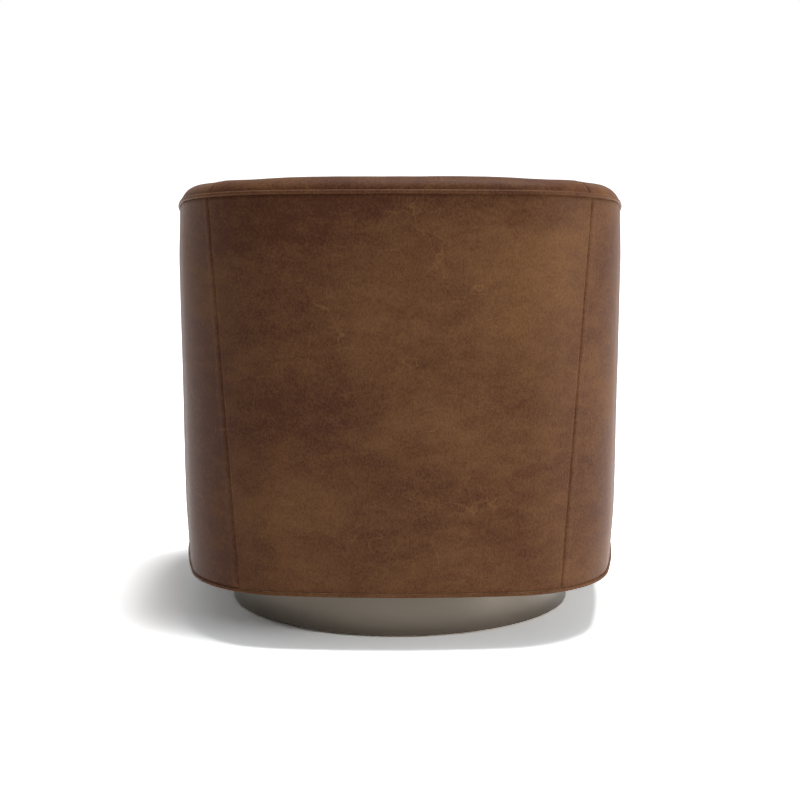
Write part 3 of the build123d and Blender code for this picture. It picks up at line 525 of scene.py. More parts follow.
def make_hide_group():
    """Waxed hide that has gone lighter where it was pulled, rubbed and scratched."""
    group, start, end = new_group(
        "pull_up_hide",
        [
            ("Vector", "NodeSocketVector", None),
            ("Deep", "NodeSocketColor", (0.05, 0.02, 0.01, 1)),
            ("Pulled", "NodeSocketColor", (0.2, 0.1, 0.05, 1)),
            ("Wear_and_light", "NodeSocketFloat", 0.0),
        ],
        [("Colour", "NodeSocketColor"), ("Roughness", "NodeSocketFloat"), ("Height", "NodeSocketFloat")],
    )
    vector = start.outputs["Vector"]

    wide = stretched(group, vector, (1, 1, 1.9))
    clouds = noise_node(group, wide, 4.2, 3.0, 0.5, 0.25)
    mottle = noise_node(group, wide, 24.0, 6.0, 0.62)
    fibre = noise_node(group, stretched(group, vector, (1, 1, 0.7)), 330.0, 4.0, 0.72)
    pores = noise_node(group, vector, 520.0, 2.0, 0.6)
    grain = add_node(group, "ShaderNodeTexVoronoi", {"Scale": 620.0})
    group.links.new(vector, grain.inputs["Vector"])
    bend = add_node(group, "ShaderNodeTexNoise", {"Scale": 9.0, "Detail": 3.0})
    group.links.new(vector, bend.inputs["Vector"])
    warp = add_node(group, "ShaderNodeMix", {0: 0.16}, data_type="VECTOR")
    group.links.new(vector, warp.inputs[4])
    group.links.new(bend.outputs["Color"], warp.inputs[5])
    veins = add_node(group, "ShaderNodeTexVoronoi", {"Scale": 17.0}, feature="DISTANCE_TO_EDGE")
    group.links.new(warp.outputs[1], veins.inputs["Vector"])
    vein_line = remap(group, veins.outputs["Distance"], 0.0, 0.026, 1.0, 0.0)
    vein_where = remap(group, noise_node(group, vector, 9.0, 2.0), 0.53, 0.68)
    vein = maths(group, "MULTIPLY", vein_line, vein_where)

    def scratch(scale, level, width, where_scale):
        """Fine lines that follow a stretched pattern, in a few places."""
        line = noise_node(group, stretched(group, vector, scale), 10.0, 1.5, 0.4)
        off = maths(group, "ABSOLUTE", maths(group, "SUBTRACT", line, level), 0.0)
        near = remap(group, off, 0.0, width, 1.0, 0.0)
        there = remap(group, noise_node(group, vector, where_scale, 2.0), 0.51, 0.64)
        return maths(group, "MULTIPLY", near, there)

    upright = scratch((2.2, 2.2, 0.35), 0.50, 0.0035, 7.0)
    level_marks = scratch((1.1, 1.1, 2.6), 0.47, 0.0040, 11.0)
    marks = maths(group, "ADD", upright, level_marks)
    parts = (
        remap(group, clouds, 0.34, 0.68, 0.0, 0.26),
        remap(group, mottle, 0.36, 0.66, -0.02, 0.18),
        remap(group, fibre, 0.36, 0.64, -0.06, 0.28),
        remap(group, pores, 0.3, 0.7, -0.06, 0.08),
        maths(group, "MULTIPLY", vein, 0.38),
        maths(group, "MULTIPLY", marks, 0.44),
        # rubbed places together with painted light and shade, from the covers' attribute
        start.outputs["Wear_and_light"],
    )
    tone = parts[0]
    for part in parts[1:]:
        tone = maths(group, "ADD", tone, part)
    colour = blend_colours(group, tone, start.outputs["Deep"], start.outputs["Pulled"])
    group.links.new(colour, end.inputs["Colour"])
    group.links.new(remap(group, tone, 0.0, 1.0, 0.50, 0.68, False), end.inputs["Roughness"])
    height = maths(group, "MULTIPLY", grain.outputs["Distance"], 0.35)
    height = maths(group, "ADD", height, maths(group, "MULTIPLY", mottle, 0.9))
    height = maths(group, "ADD", height, maths(group, "MULTIPLY", fibre, 0.30))
    cuts = maths(group, "MULTIPLY", maths(group, "ADD", vein, marks), 0.25)
    height = maths(group, "SUBTRACT", height, cuts)
    group.links.new(height, end.inputs["Height"])
    return group


HIDE = make_hide_group()


def start_material(name):
    """A material with a Principled shader and the object's own coordinates."""
    material = bpy.data.materials.new(name)
    material.use_nodes = True
    tree = material.node_tree
    tree.nodes.clear()
    output = add_node(tree, "ShaderNodeOutputMaterial")
    shader = add_node(tree, "ShaderNodeBsdfPrincipled")
    tree.links.new(shader.outputs[0], output.inputs["Surface"])
    where = add_node(tree, "ShaderNodeTexCoord")
    return material, tree, shader, where.outputs["Object"]


def add_bump(tree, shader, height, strength, distance):
    bump = add_node(tree, "ShaderNodeBump", {"Strength": strength, "Distance": distance})
    tree.links.new(height, bump.inputs["Height"])
    tree.links.new(bump.outputs["Normal"], shader.inputs["Normal"])


LEATHER_BUMP = 0.35
LEATHER_GRAIN_DEPTH = 0.0012
LEATHER_SHINE = 0.10


def leather_material(name, deep, pulled, wear_and_light=0.0):
    material, tree, shader, where = start_material(name)
    hide = add_node(tree, "ShaderNodeGroup", {"Deep": (*deep, 1), "Pulled": (*pulled, 1)}, node_tree=HIDE)
    tree.links.new(where, hide.inputs["Vector"])
    # the attribute holds rubbed places and painted light: painted highlight on the back's right half, painted
    # shade on the left side cover
    rubbed_and_lit = add_node(tree, "ShaderNodeAttribute", attribute_name="wear_and_light")
    tree.links.new(maths(tree, "ADD", rubbed_and_lit.outputs["Fac"], wear_and_light), hide.inputs["Wear_and_light"])
    tree.links.new(hide.outputs["Colour"], shader.inputs["Base Color"])
    tree.links.new(hide.outputs["Roughness"], shader.inputs["Roughness"])
    add_bump(tree, shader, hide.outputs["Height"], LEATHER_BUMP, LEATHER_GRAIN_DEPTH)
    shader.inputs["Specular IOR Level"].default_value = LEATHER_SHINE
    return material


HIDE_DEEP = (0.063, 0.0195, 0.0085)
HIDE_PULLED = (0.216, 0.103, 0.043)
leather = leather_material("brown_leather", HIDE_DEEP, HIDE_PULLED)
welt_leather = leather_material("welt_leather", HIDE_DEEP, HIDE_PULLED, 0.02)


GLOSS_CHANGE = 0.06
FINE_DEPTH = 0.0004


def plain_material(name, colour, roughness, metallic, scale, change, bump, stretch=(1, 1, 1)):
    """A finish with fine unevenness in its colour, gloss and surface."""
    material, tree, shader, where = start_material(name)
    pattern = noise_node(tree, stretched(tree, where, stretch), scale, 5.0, 0.6)
    dark = tuple(c * (1 - change) for c in colour) + (1,)
    light = tuple(min(1, c * (1 + change)) for c in colour) + (1,)
    tree.links.new(blend_colours(tree, pattern, dark, light), shader.inputs["Base Color"])
    gloss = remap(tree, pattern, 0.3, 0.7, roughness - GLOSS_CHANGE, roughness + GLOSS_CHANGE)
    tree.links.new(gloss, shader.inputs["Roughness"])
    shader.inputs["Metallic"].default_value = metallic
    add_bump(tree, shader, pattern, bump, FINE_DEPTH)
    return material


# Each finish: colour, roughness, metallic, scale, change of colour, bump and the pattern's stretch.
plinth_metal = plain_material(
    "brushed_bronze", (0.116, 0.094, 0.070), 0.36, 0.5, 14.0, 0.16, 0.14, (1, 1, 45),
)
plywood = plain_material("birch_plywood", (0.62, 0.45, 0.27), 0.62, 0.0, 18.0, 0.22, 0.2, (1, 7, 1))
hardwood = plain_material("beech", (0.55, 0.36, 0.20), 0.55, 0.0, 16.0, 0.25, 0.2, (7, 7, 1))
plate_steel = plain_material("zinc_plated_steel", (0.62, 0.62, 0.60), 0.34, 1.0, 90.0, 0.08, 0.1)
black_steel = plain_material("black_spring_wire", (0.05, 0.05, 0.055), 0.4, 0.8, 120.0, 0.2, 0.1)
nylon = plain_material("black_nylon", (0.02, 0.02, 0.022), 0.5, 0.0, 150.0, 0.3, 0.1)
foam = plain_material("cream_foam", (0.78, 0.70, 0.50), 0.9, 0.0, 700.0, 0.10, 0.5)
wadding = plain_material("white_wadding", (0.80, 0.80, 0.77), 0.95, 0.0, 320.0, 0.12, 0.8)
lining = plain_material("black_lining_cloth", (0.035, 0.035, 0.038), 0.85, 0.0, 900.0, 0.35, 0.5)
board = plain_material("grey_fibreboard", (0.33, 0.26, 0.19), 0.8, 0.0, 240.0, 0.15, 0.3)
canvas = plain_material("brown_deck_cloth", (0.16, 0.105, 0.07), 0.85, 0.0, 1100.0, 0.25, 0.5)
webbing = plain_material("jute_webbing", (0.36, 0.27, 0.16), 0.9, 0.0, 500.0, 0.3, 0.6, (1, 6, 1))

SLOT_FINISH = {
    "plywood": plywood, "hardwood": hardwood, "plate_steel": black_steel, "ball_steel": plate_steel,
    "fasteners": plate_steel, "spring_steel": black_steel, "foam": foam, "wadding_fibre": wadding,
    "lining_cloth": lining, "nylon": nylon, "plinth_metal": plinth_metal,
    "leather": leather, "welt_leather": welt_leather,
}
NODE_FINISH = {"outer_board": board, "arm_linings": board, "deck_cloth": canvas, "back_webbing": webbing}


def finish_piece(piece, body, slot, material, *nodes):
    """Gives a piece its material and its body, and hides the frame nodes that it stands for."""
    piece.data.materials.clear()
    piece.data.materials.append(material)
    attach(piece, body)
    if nodes:
        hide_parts(*nodes)


# Lighter and darker places of the back: x, z, half width, half height, amount. Some are rubbed (lighter) and
# oiled (darker) places of the hide; the lighter places on the right half (x below 0) are painted highlight
# where the right lamp's light falls, and the places on the left and along the top are only darker.
BACK_WEAR_AND_LIGHT_PLACES = (
    (0.165, 0.235, 0.075, 0.040, 0.30),
    (0.045, 0.560, 0.050, 0.075, 0.16),
    (-0.080, 0.330, 0.060, 0.110, 0.14),
    (0.215, 0.600, 0.080, 0.150, -0.16),
    (-0.010, 0.200, 0.055, 0.050, -0.12),
    (-0.190, 0.420, 0.060, 0.180, 0.08),
    # painted highlight: the top right is lightened where the right lamp's light falls
    (-0.205, 0.620, 0.070, 0.090, 0.22),
    (0.030, 0.690, 0.130, 0.045, -0.16),
    (-0.120, 0.640, 0.070, 0.060, 0.08),
    (0.120, 0.420, 0.050, 0.090, -0.08),
)


# Sums the back's places: rubbed and oiled places, painted highlight on the right half, and darker places on
# the left and along the top.
def back_wear_and_light(co):
    amount = 0.0
    for x, z, wide, tall, change in BACK_WEAR_AND_LIGHT_PLACES:
        amount += change * exp(-(((co.x - x) / wide) ** 2 + ((co.z - z) / tall) ** 2) / 2)
    return amount


def set_wear_and_light(piece, amount):
    """Writes how much lighter or darker each place of a piece is, from its coordinates: rubbed places and
    painted light and shade.
    """
    layer = piece.data.attributes.new("wear_and_light", "FLOAT", "POINT")
    layer.data.foreach_set("value", [amount(v.co) for v in piece.data.vertices])


# ---- Outer back and side covers --------------------------------------------------------
PANEL_STEP = 0.0060
FINE_STEPS = (0.0, 0.0012, 0.0028, 0.0050, 0.0080, 0.0110, 0.0130, 0.0160, 0.0210)
HEM_RISE = -TOP_WELT - 0.0002  # the outer covers end just under the top piping
MIDDLE_HEIGHT = 0.45
BACK_SWELL = 0.0020
SIDE_SWELL = 0.0034
SWELL_ACROSS = 0.12
SWELL_UP = 0.10
SEAM_DEPTH = 0.0013
TOP_TUCK = (0.005, 0.0015)
HEM_TUCK = (0.006, 0.0012)


def outer_place(side, low_mark, high_mark):
    """Gives the place on the outer wall for shares between two marks and two edges."""

    def place(column, row):
        y = BACK_REACH
        for _ in range(3):
            top = rim_height(y, HEM_RISE)
            height = HEM + (top - HEM) * row
            low = mark(low_mark, height) if low_mark else 0.0
            along = low + (mark(high_mark, height) - low) * column
            plan = WallPlan(height)
            (x, y), _ = plan.at(along)
        return (side * x, y, height)

    return place


back_width = mark("seam", MIDDLE_HEIGHT)
panel_height = WELT_LEVEL - HEM
panel_rows = spread(0, panel_height, PANEL_STEP, FINE_STEPS[:6])


def tuck(distance, width, depth):
    """How far a skin dips towards a seam this near."""
    return -depth * (1 - ease(distance / width)) ** 2


DEEPEST = -0.0017  # a seam stays within the leather's own thickness


def back_puff(column, row, co):
    across = abs(column) * back_width
    to_seam = back_width - across
    to_top = (1 - row) * panel_height
    to_bottom = row * panel_height
    puff = BACK_SWELL * ease(to_seam / SWELL_ACROSS) * ease(to_top / SWELL_UP) * ease(to_bottom / SWELL_UP)
    puff += tuck(to_seam, 0.004, SEAM_DEPTH) + tuck(to_top, *TOP_TUCK) + tuck(to_bottom, *HEM_TUCK)
    puff += 0.0007 * wrinkle(co, 7.0, 3.1) * ease(to_seam / 0.03)
    folds = noise.noise(Vector((co.x * 22.0, 3.0, co.z * 3.2)))
    puff += 0.0006 * folds * ease((0.10 - co.x) / 0.20) * ease(to_seam / 0.04)
    puff += 0.0002 * wrinkle(co, 34.0, 1.7)
    return max(puff, DEEPEST)


back_columns = [2 * c - 1 for c in spread(0, 2 * back_width, PANEL_STEP, FINE_STEPS)]


def back_place(column, row):
    place = outer_place(1 if column >= 0 else -1, None, "seam")
    return place(abs(column), row)


outer_back = sheet_mesh("outer_back_leather", back_columns, panel_rows, back_place, -1, back_puff)
thicken(outer_back)
smooth(outer_back)
set_wear_and_light(outer_back, back_wear_and_light)
finish_piece(outer_back, "seat_body", "leather", leather, "outer_back_cover", "outer_wadding")

side_width = mark("wrap", MIDDLE_HEIGHT) - mark("seam", MIDDLE_HEIGHT)
side_columns = spread(0, side_width, PANEL_STEP, FINE_STEPS)
RIDGE = 0.0085  # the turned-in allowance behind a side's seam shows this wide


def side_puff(column, row, co):
    from_seam = column * side_width
    to_end = (1 - column) * side_width
    to_top = (1 - row) * panel_height
    to_bottom = row * panel_height
    puff = (
        SIDE_SWELL * ease((from_seam - RIDGE) / SWELL_ACROSS)
        * ease(to_top / SWELL_UP) * ease(to_bottom / SWELL_UP) * ease(to_end / SWELL_ACROSS)
    )
    puff += 0.0006 * (1 - ease((from_seam - RIDGE) / 0.004)) * ease(from_seam / 0.004)
    puff += tuck(from_seam, 0.003, SEAM_DEPTH)
    if co.z > FLAP_LEVEL:
        puff += tuck(to_end, 0.006, 0.0012)
    puff += tuck(to_top, *TOP_TUCK) + tuck(to_bottom, *HEM_TUCK)
    puff += 0.0008 * wrinkle(co, 6.0, 8.3) * ease((from_seam - RIDGE) / 0.03) * ease(to_end / 0.05)
    puff += 0.0002 * wrinkle(co, 34.0, 5.7)
    return max(puff, DEEPEST)


for side, hand in ((1, "left"), (-1, "right")):
    cover = sheet_mesh(
        f"outer_side_leather_{hand}", side_columns, panel_rows,
        outer_place(side, "seam", "wrap"), -side, side_puff,
    )
    thicken(cover)
    smooth(cover)
    # The covers' tone: random unevenness, with painted shade on the left cover (x above 0), which faces away
    # from the lamps, and painted light on the right cover, where the right lamp falls.
    set_wear_and_light(cover, lambda co: -0.06 + 0.10 * wrinkle(co, 4.0, 7.7) - (0.08 if co.x > 0 else -0.05))
    finish_piece(cover, "seat_body", "leather", leather, f"outer_side_cover_{hand}")


# ---- Inner covers: rim crown, arms and inner back ------------------------------------------
CROWN_DOME = 0.0006
QUARTER_STEPS = 10
TOP_STEPS = 8
INNER_ROWS = 70
CROWN_FOOT = TOP_WELT + 0.0002  # the crown starts this far over the welt line
NOSE_PART = 0.028  # the nose's own grid starts this far before the wrap of the outer cover


def rim_place(distance_of, inset, rise):
    """Place on the rim for a station whose distance depends on the height."""
    y = 0.1
    for _ in range(4):
        height = rim_height(y, rise)
        (x, y), _ = WallPlan(height).at(distance_of(height), inset)
    return Vector((x, y, rim_height(y, rise)))


def station(section, share):
    """Distances of a station on the outer and the inner side, as functions of height."""
    ends = {
        "back": ("start", "corner", "end", "inner_corner"),
        "arm": ("corner", "front", "inner_corner", "wrap"),
        "nose": ("front", "tip", "wrap", "tip"),
    }[section]

    def mark_at(name, height):
        if name == "start":
            return 0.0
        if name == "front":
            return 2 * mark("tip", height) - mark("wrap", height) - NOSE_PART
        return mark(name, height)

    def between(first, second):
        return lambda height: (
            mark_at(first, height) + (mark_at(second, height) - mark_at(first, height)) * share
        )

    return between(ends[0], ends[1]), between(ends[2], ends[3])


class RoundedEdge:
    """The rolled edge between the rim's flat top and one side of the wall, at a station."""

    def __init__(self, distance_of):
        y = 0.1
        for _ in range(4):
            height = rim_height(y, CROWN_RISE)
            plan = WallPlan(height)
            (x, y), way = plan.at(distance_of(height))
        self.corner = Vector((x, y, rim_height(y, CROWN_RISE)))
        self.way = Vector((way[0], way[1], 0))
        self.fall = way[1] * tan(SLOPE)
        self.lean = plan.lean(distance_of(height), way)
        top_run, side_run = hypot(1, self.fall), hypot(1, self.lean)
        across = CROWN_RADIUS * (side_run - self.lean * top_run) / (1 + self.lean * self.fall)
        self.centre = (across, -CROWN_RADIUS * top_run - self.fall * across)
        self.first, last = atan2(-self.fall, 1), atan2(1, self.lean)
        self.side_run = side_run
        self.last = last
        self.straight = (self.rise(self.bend(last)) - CROWN_FOOT) * side_run
        if self.straight < 0:
            low, high = self.first, last
            for _ in range(20):
                middle = (low + high) / 2
                if self.rise(self.bend(middle)) > CROWN_FOOT:
                    low = middle
                else:
                    high = middle
            self.last, self.straight = low, 0.0

    def rise(self, spot):
        return CROWN_RISE + (spot[1] + self.fall * spot[0]) * cos(SLOPE)

    def bend(self, turn):
        return (self.centre[0] - CROWN_RADIUS * sin(turn), self.centre[1] + CROWN_RADIUS * cos(turn))

    def at(self, share):
        """Place from the top (0) to the foot (1) of the rolled edge."""
        arc = CROWN_RADIUS * (self.last - self.first)
        run = share * (arc + self.straight)
        if run <= arc:
            spot = self.bend(self.first + run / CROWN_RADIUS)
        else:
            foot = self.bend(self.last)
            extra = (run - arc) / self.side_run
            spot = (foot[0] - self.lean * extra, foot[1] - extra)
        return self.corner - self.way * spot[0] + Vector((0, 0, spot[1]))


@lru_cache(maxsize=None)
def edges_at(section, share):
    outer_distance, inner_distance = station(section, share)
    return RoundedEdge(outer_distance), RoundedEdge(inner_distance)


CROWN_ROWS = 2 * QUARTER_STEPS + TOP_STEPS + 1
CORNER_DROP = 0.0031  # the padding is softer at the back corners, and lies lower


def crown_place(side, section, share, number):
    outer, inner = edges_at(section, share)
    if number <= QUARTER_STEPS:
        place = outer.at(1 - number / QUARTER_STEPS)
    elif number >= QUARTER_STEPS + TOP_STEPS:
        place = inner.at((number - QUARTER_STEPS - TOP_STEPS) / QUARTER_STEPS)
    else:
        across = (number - QUARTER_STEPS) / TOP_STEPS
        first, second = outer.at(0), inner.at(0)
        place = first.lerp(second, across)
        place.z += CROWN_DOME * min(1, (second - first).length / 0.03) * sin(pi * across)
    return Vector((side * place.x, place.y, place.z))


def inner_place(side, section, share, row):
    """Place on the inner wall, from the crown's foot (row 0) down to the deck (row 1)."""
    _, inner_distance = station(section, share)
    start = edges_at(section, share)[1].at(1)
    height = start.z + (DECK_LEVEL - start.z) * row
    (x, y), _ = WallPlan(height).at(inner_distance(height))
    return Vector((side * x, y, height))


ROW_NUMBERS = list(range(CROWN_ROWS + INNER_ROWS))


def lining_place(side, section, share, number):
    if number < CROWN_ROWS:
        return crown_place(side, section, share, number)
    return inner_place(side, section, share, (number - CROWN_ROWS + 1) / INNER_ROWS)


def crown_puff(to_seam, number, co, lift):
    """The crown swells between its seams and is drawn in along them."""
    over = min(number / 6, (CROWN_ROWS - 1 - number) / 6, 1)
    puff = lift * ease(over) * ease(to_seam / 0.010) * (1 - ease((to_seam - 0.015) / 0.07))
    puff += tuck(to_seam, 0.005, 0.0020)
    if number < 2:
        puff += (-0.0009, -0.0003)[number]
    above_cushion = (co.z - 0.475) / 0.20
    if number > CROWN_ROWS and above_cushion > 0:
        puff += 0.003 * sin(pi * min(1, above_cushion)) * ease(to_seam / 0.10)
    puff += (0.0006 * wrinkle(co, 9.0, 2.2) + 0.0003 * wrinkle(co, 30.0, 6.6)) * ease(to_seam / 0.02)
    puff = max(puff, DEEPEST)
    if number < CROWN_ROWS:
        puff -= CORNER_DROP * over * ease((abs(co.x) - 0.13) / 0.12) * ease((co.y - 0.05) / 0.20)
    return puff


CORNER_FINE_STEPS = (0.0, 0.0015, 0.0035, 0.0065, 0.0100, 0.0150, 0.0210)
BACK_SEAM_HEIGHT = 0.72
ARM_SEAM_HEIGHT = 0.70
back_half = mark("corner", BACK_SEAM_HEIGHT)
back_stations = [2 * c - 1 for c in spread(0, 2 * back_half, 0.0075, CORNER_FINE_STEPS)]


def inner_back_place(column, number):
    return lining_place(1 if column >= 0 else -1, "back", abs(column), number)


JOINT_X = 0.0236  # where the crown's two lengths are joined


def inner_back_puff(column, number, co):
    puff = crown_puff((1 - abs(column)) * back_half, number, co, 0.0014)
    if number < CROWN_ROWS:
        puff += tuck(abs(co.x - JOINT_X), 0.003, 0.0007) - 0.0010
    return puff


inner_back = sheet_mesh(
    "inner_back_leather", back_stations, ROW_NUMBERS, inner_back_place, -1, inner_back_puff,
)
thicken(inner_back)
smooth(inner_back, 60)
finish_piece(inner_back, "seat_body", "leather", leather, "inner_back_cover", "inner_back_foam")

arm_length = mark("tip", ARM_SEAM_HEIGHT) - mark("corner", ARM_SEAM_HEIGHT) - 0.07
arm_stations = spread(0, arm_length, 0.0085, CORNER_FINE_STEPS, both=False)
nose_stations = [k / 14 for k in range(15)]


def arm_puff_at(share, number, co):
    return crown_puff(share * arm_length, number, co, -0.0008)


for side, hand in ((1, "left"), (-1, "right")):
    arm = sheet_mesh(
        f"inner_arm_leather_{hand}", arm_stations, ROW_NUMBERS,
        lambda column, number: lining_place(side, "arm", column, number), -side, arm_puff_at,
    )
    cap = sheet_mesh(
        f"arm_nose_{hand}", nose_stations, ROW_NUMBERS[:CROWN_ROWS],
        lambda column, number: lining_place(side, "nose", sin(column * pi / 2), number), -side,
        lambda column, number, co: arm_puff_at(1, number, co),
    )
    select_only(arm)
    cap.select_set(True)
    bpy.ops.object.join()
    bpy.ops.object.mode_set(mode="EDIT")
    bpy.ops.mesh.select_all(action="SELECT")
    bpy.ops.mesh.remove_doubles(threshold=0.0004)
    bpy.ops.object.mode_set(mode="OBJECT")
    thicken(arm)
    smooth(arm, 60)
    finish_piece(arm, "seat_body", "leather", leather, f"inner_arm_cover_{hand}", f"inner_arm_foam_{hand}")


# ---- Welts -------------------------------------------------------------------------------------
WELT_POINTS = 330


def welt_line(rise=None, height=None, drawn_in=0.001):
    """Points along a welt, round the outer wall from one nose seam to the other."""
    points = []
    for number in range(WELT_POINTS + 1):
        share = 2 * number / WELT_POINTS - 1
        side = 1 if share >= 0 else -1
        if height is None:
            place = rim_place(lambda z: abs(share) * mark("wrap", z), drawn_in, rise)
        else:
            (x, y), _ = WallPlan(height).at(abs(share) * mark("wrap", height), drawn_in)
            place = Vector((x, y, height))
        points.append((side * place.x, place.y, place.z))
    return points


top_welt = tube(
    "top_piping", welt_line(rise=0.0), TOP_WELT, 16,
    swell=lambda n: 1 + 0.05 * noise.noise(Vector((n * 0.35, 0, 0))),
)
finish_piece(top_welt, "seat_body", "welt_leather", welt_leather, "top_welt")
bottom_welt = tube("bottom_piping", welt_line(height=UNDERSIDE + 0.0002 + BOTTOM_WELT), BOTTOM_WELT, 16)
finish_piece(bottom_welt, "seat_body", "welt_leather", welt_leather, "bottom_welt")


# ---- Front panel -----------------------------------------------------------------------------
def front_edge(height, inset):
    """Half length of the front run between the arms, and its place function."""
    lean = (WELT_LEVEL - height) * FLARE
    plan = WallPlan(height)
    line = plan.pieces[5]
    middle = Arc(FRONT_CENTRE, FRONT_RADIUS - lean, -pi / 2, FRONT_TURN)
    bend = Arc(FRONT_CORNER, FRONT_CORNER_RADIUS - lean, FRONT_TURN, SIDE_TURN_FRONT)
    reach = line.start[0] * ARM_OUT[0] + line.start[1] * ARM_OUT[1]

    def at(distance):
        if distance <= middle.length:
            return middle.at(distance / middle.length, inset)[0]
        return bend.at((distance - middle.length) / bend.length, inset)[0]

    low, high = 0.0, middle.length + bend.length
    for _ in range(30):
        halfway = (low + high) / 2
        x, y = at(halfway)
        if x * ARM_OUT[0] + y * ARM_OUT[1] < reach:
            low = halfway
        else:
            high = halfway
    return low, at


FLAP_END = -0.0815
END_PRESS = 0.0026  # how far the panel is pressed into the arms
END_RETURN = 0.010  # its folded ends, against the arms
FLAP_BEND = 0.008
FRONT_PIPING_LEVEL = UNDERSIDE + 0.0032
FRONT_PIPING_STEPS = 120
front_rise = FLAP_LEVEL - HEM


def arm_face(height, y):
    """How far the inner face of an arm is from the middle, at a height and a depth."""
    line = WallPlan(height).pieces[5]
    return line.start[0] + (y - line.start[1]) * ARM_RUN[0] / ARM_RUN[1]


def front_place(column, row):
    """Up the front, over a small bend, and back over the deck as a flap."""
    turn = 1 if column >= 0 else -1
    run = row * (front_rise + FRONT_REACH - FRONT_RECESS + FLAP_END)
    height = min(HEM + run, FLAP_LEVEL)
    half, at = front_edge(height, FRONT_RECESS)
    edge = half + END_PRESS
    along = abs(column) * (edge + END_RETURN)
    x, y = at(min(along, edge))
    folded = max(0.0, along - edge)
    x += folded * ARM_RUN[0] / ARM_RUN[1]
    y += folded
    over = run - (FLAP_LEVEL - HEM - FLAP_BEND)
    if over > 0:
        bend = min(over / (1.6 * FLAP_BEND), 1) * pi / 2
        height = FLAP_LEVEL - FLAP_BEND * (1 - sin(bend))
        back = y + FLAP_BEND * (1 - cos(bend))
        further = max(0.0, over - 1.6 * FLAP_BEND)
        whole = FRONT_REACH - FRONT_RECESS + FLAP_END + 0.4 * FLAP_BEND - FLAP_BEND
        y = back + (FLAP_END - back) * further / max(whole, further)
        x = abs(column) * (arm_face(height, y) - 0.0004)
    return (turn * x, y, height)


def front_puff(column, row, co):
    to_side = (1 - abs(column)) * 0.30
    to_bottom = co.z - HEM
    puff = tuck(to_bottom, 0.008, 0.0012) + 0.0005 * wrinkle(co, 12.0, 4.4) * ease(to_side / 0.02)
    if co.z < FLAP_LEVEL - FLAP_BEND:
        puff += 0.0025 * ease(to_side / 0.06) * ease((FLAP_LEVEL - co.z) / 0.06) * ease(to_bottom / 0.05)
    return max(min(puff, 0.003 if co.z < 0.27 else 0.0), DEEPEST)


front_columns = [2 * c - 1 for c in spread(0, 0.62, 0.007, FINE_STEPS[:6])]
front_rows = spread(0, 0.47, 0.006, FINE_STEPS[:5])
front_panel = sheet_mesh("front_panel_leather", front_columns, front_rows, front_place, 1, front_puff)
thicken(front_panel)
smooth(front_panel)
finish_piece(front_panel, "seat_body", "leather", leather, "front_panel_cover", "front_panel_wadding")

front_line = []
half, at = front_edge(FRONT_PIPING_LEVEL, FRONT_RECESS + 0.001)
for number in range(FRONT_PIPING_STEPS + 1):
    share = 2 * number / FRONT_PIPING_STEPS - 1
    x, y = at(abs(share) * half)
    front_line.append(((1 if share >= 0 else -1) * x, y, FRONT_PIPING_LEVEL))
front_welt = tube("front_piping", front_line, BOTTOM_WELT, 16)
finish_piece(front_welt, "seat_body", "welt_leather", welt_leather, "front_panel_welt")


# ---- Seat cushion ------------------------------------------------------------------------------
CUSHION_GAP = 0.005
CUSHION_FRONT = 0.003
CUSHION_CORNER = 0.042
CUSHION_BOTTOM = 0.2876
CUSHION_THICKNESS = 0.158
CUSHION_WELT = 0.003
CUSHION_MIDDLE_Y = -0.09
CUSHION_CELL = 0.0068
SWELL_FRAMES = 20
TOP_SWELL = 0.008
SIDE_GIVE = 0.0025
UNDER_GIVE = 0.0002
SEAM_INSET = 0.0030
HALF_COUNT = 60


def well_outline(height, gap, front_inset, corner_radius, count=HALF_COUNT):
    """Half of a plan inside the well, from its front middle to its back middle."""
    lean = (WELT_LEVEL - height) * FLARE
    shift = (height - WELT_LEVEL) * RAKE
    corner = (WELL_CORNER[0], WELL_CORNER[1] + shift)
    centre = (0, WELL_CENTRE[1] + shift)
    front_reach = FRONT_CORNER_RADIUS - lean - front_inset
    reach = corner[0] * ARM_OUT[0] + corner[1] * ARM_OUT[1] + WELL_CORNER_RADIUS - gap - corner_radius
    round_centre = beside_arm(reach, FRONT_CORNER, front_reach - corner_radius, -1)
    turn = turn_to(FRONT_CORNER, round_centre)
    side_start = tuple(round_centre[k] + corner_radius * ARM_OUT[k] for k in (0, 1))
    side_end = tuple(corner[k] + (WELL_CORNER_RADIUS - gap) * ARM_OUT[k] for k in (0, 1))
    pieces = [
        Arc(FRONT_CENTRE, FRONT_RADIUS - lean - front_inset, -pi / 2, FRONT_TURN),
        Arc(FRONT_CORNER, front_reach, FRONT_TURN, turn),
        Arc(round_centre, corner_radius, turn, TOE),
        Straight(side_start, side_end),
        Arc(corner, WELL_CORNER_RADIUS - gap, TOE, WELL_TURN),
        Arc(centre, WELL_BACK_RADIUS - gap, WELL_TURN, pi / 2),
    ]
    total = sum(p.length for p in pieces)
    points = []
    for number in range(count + 1):
        distance = total * number / count
        for piece in pieces:
            if distance <= piece.length or piece is pieces[-1]:
                points.append(piece.at(min(1, distance / piece.length), 0)[0])
                break
            distance -= piece.length
    return points


def whole_ring(half, height):
    """A closed ring of points from half a plan."""
    return [(x, y, height) for x, y in half] + [(-x, y, height) for x, y in reversed(half[1:-1])]


def cushion_ring(height, inset, count=HALF_COUNT):
    return whole_ring(
        well_outline(height, CUSHION_GAP + inset, CUSHION_FRONT + inset, CUSHION_CORNER, count), height,
    )


def finish_form(name, form):
    """Makes a piece of a form."""
    mesh = bpy.data.meshes.new(name)
    form.to_mesh(mesh)
    form.free()
    thing = bpy.data.objects.new(name, mesh)
    bpy.context.scene.collection.objects.link(thing)
    return thing


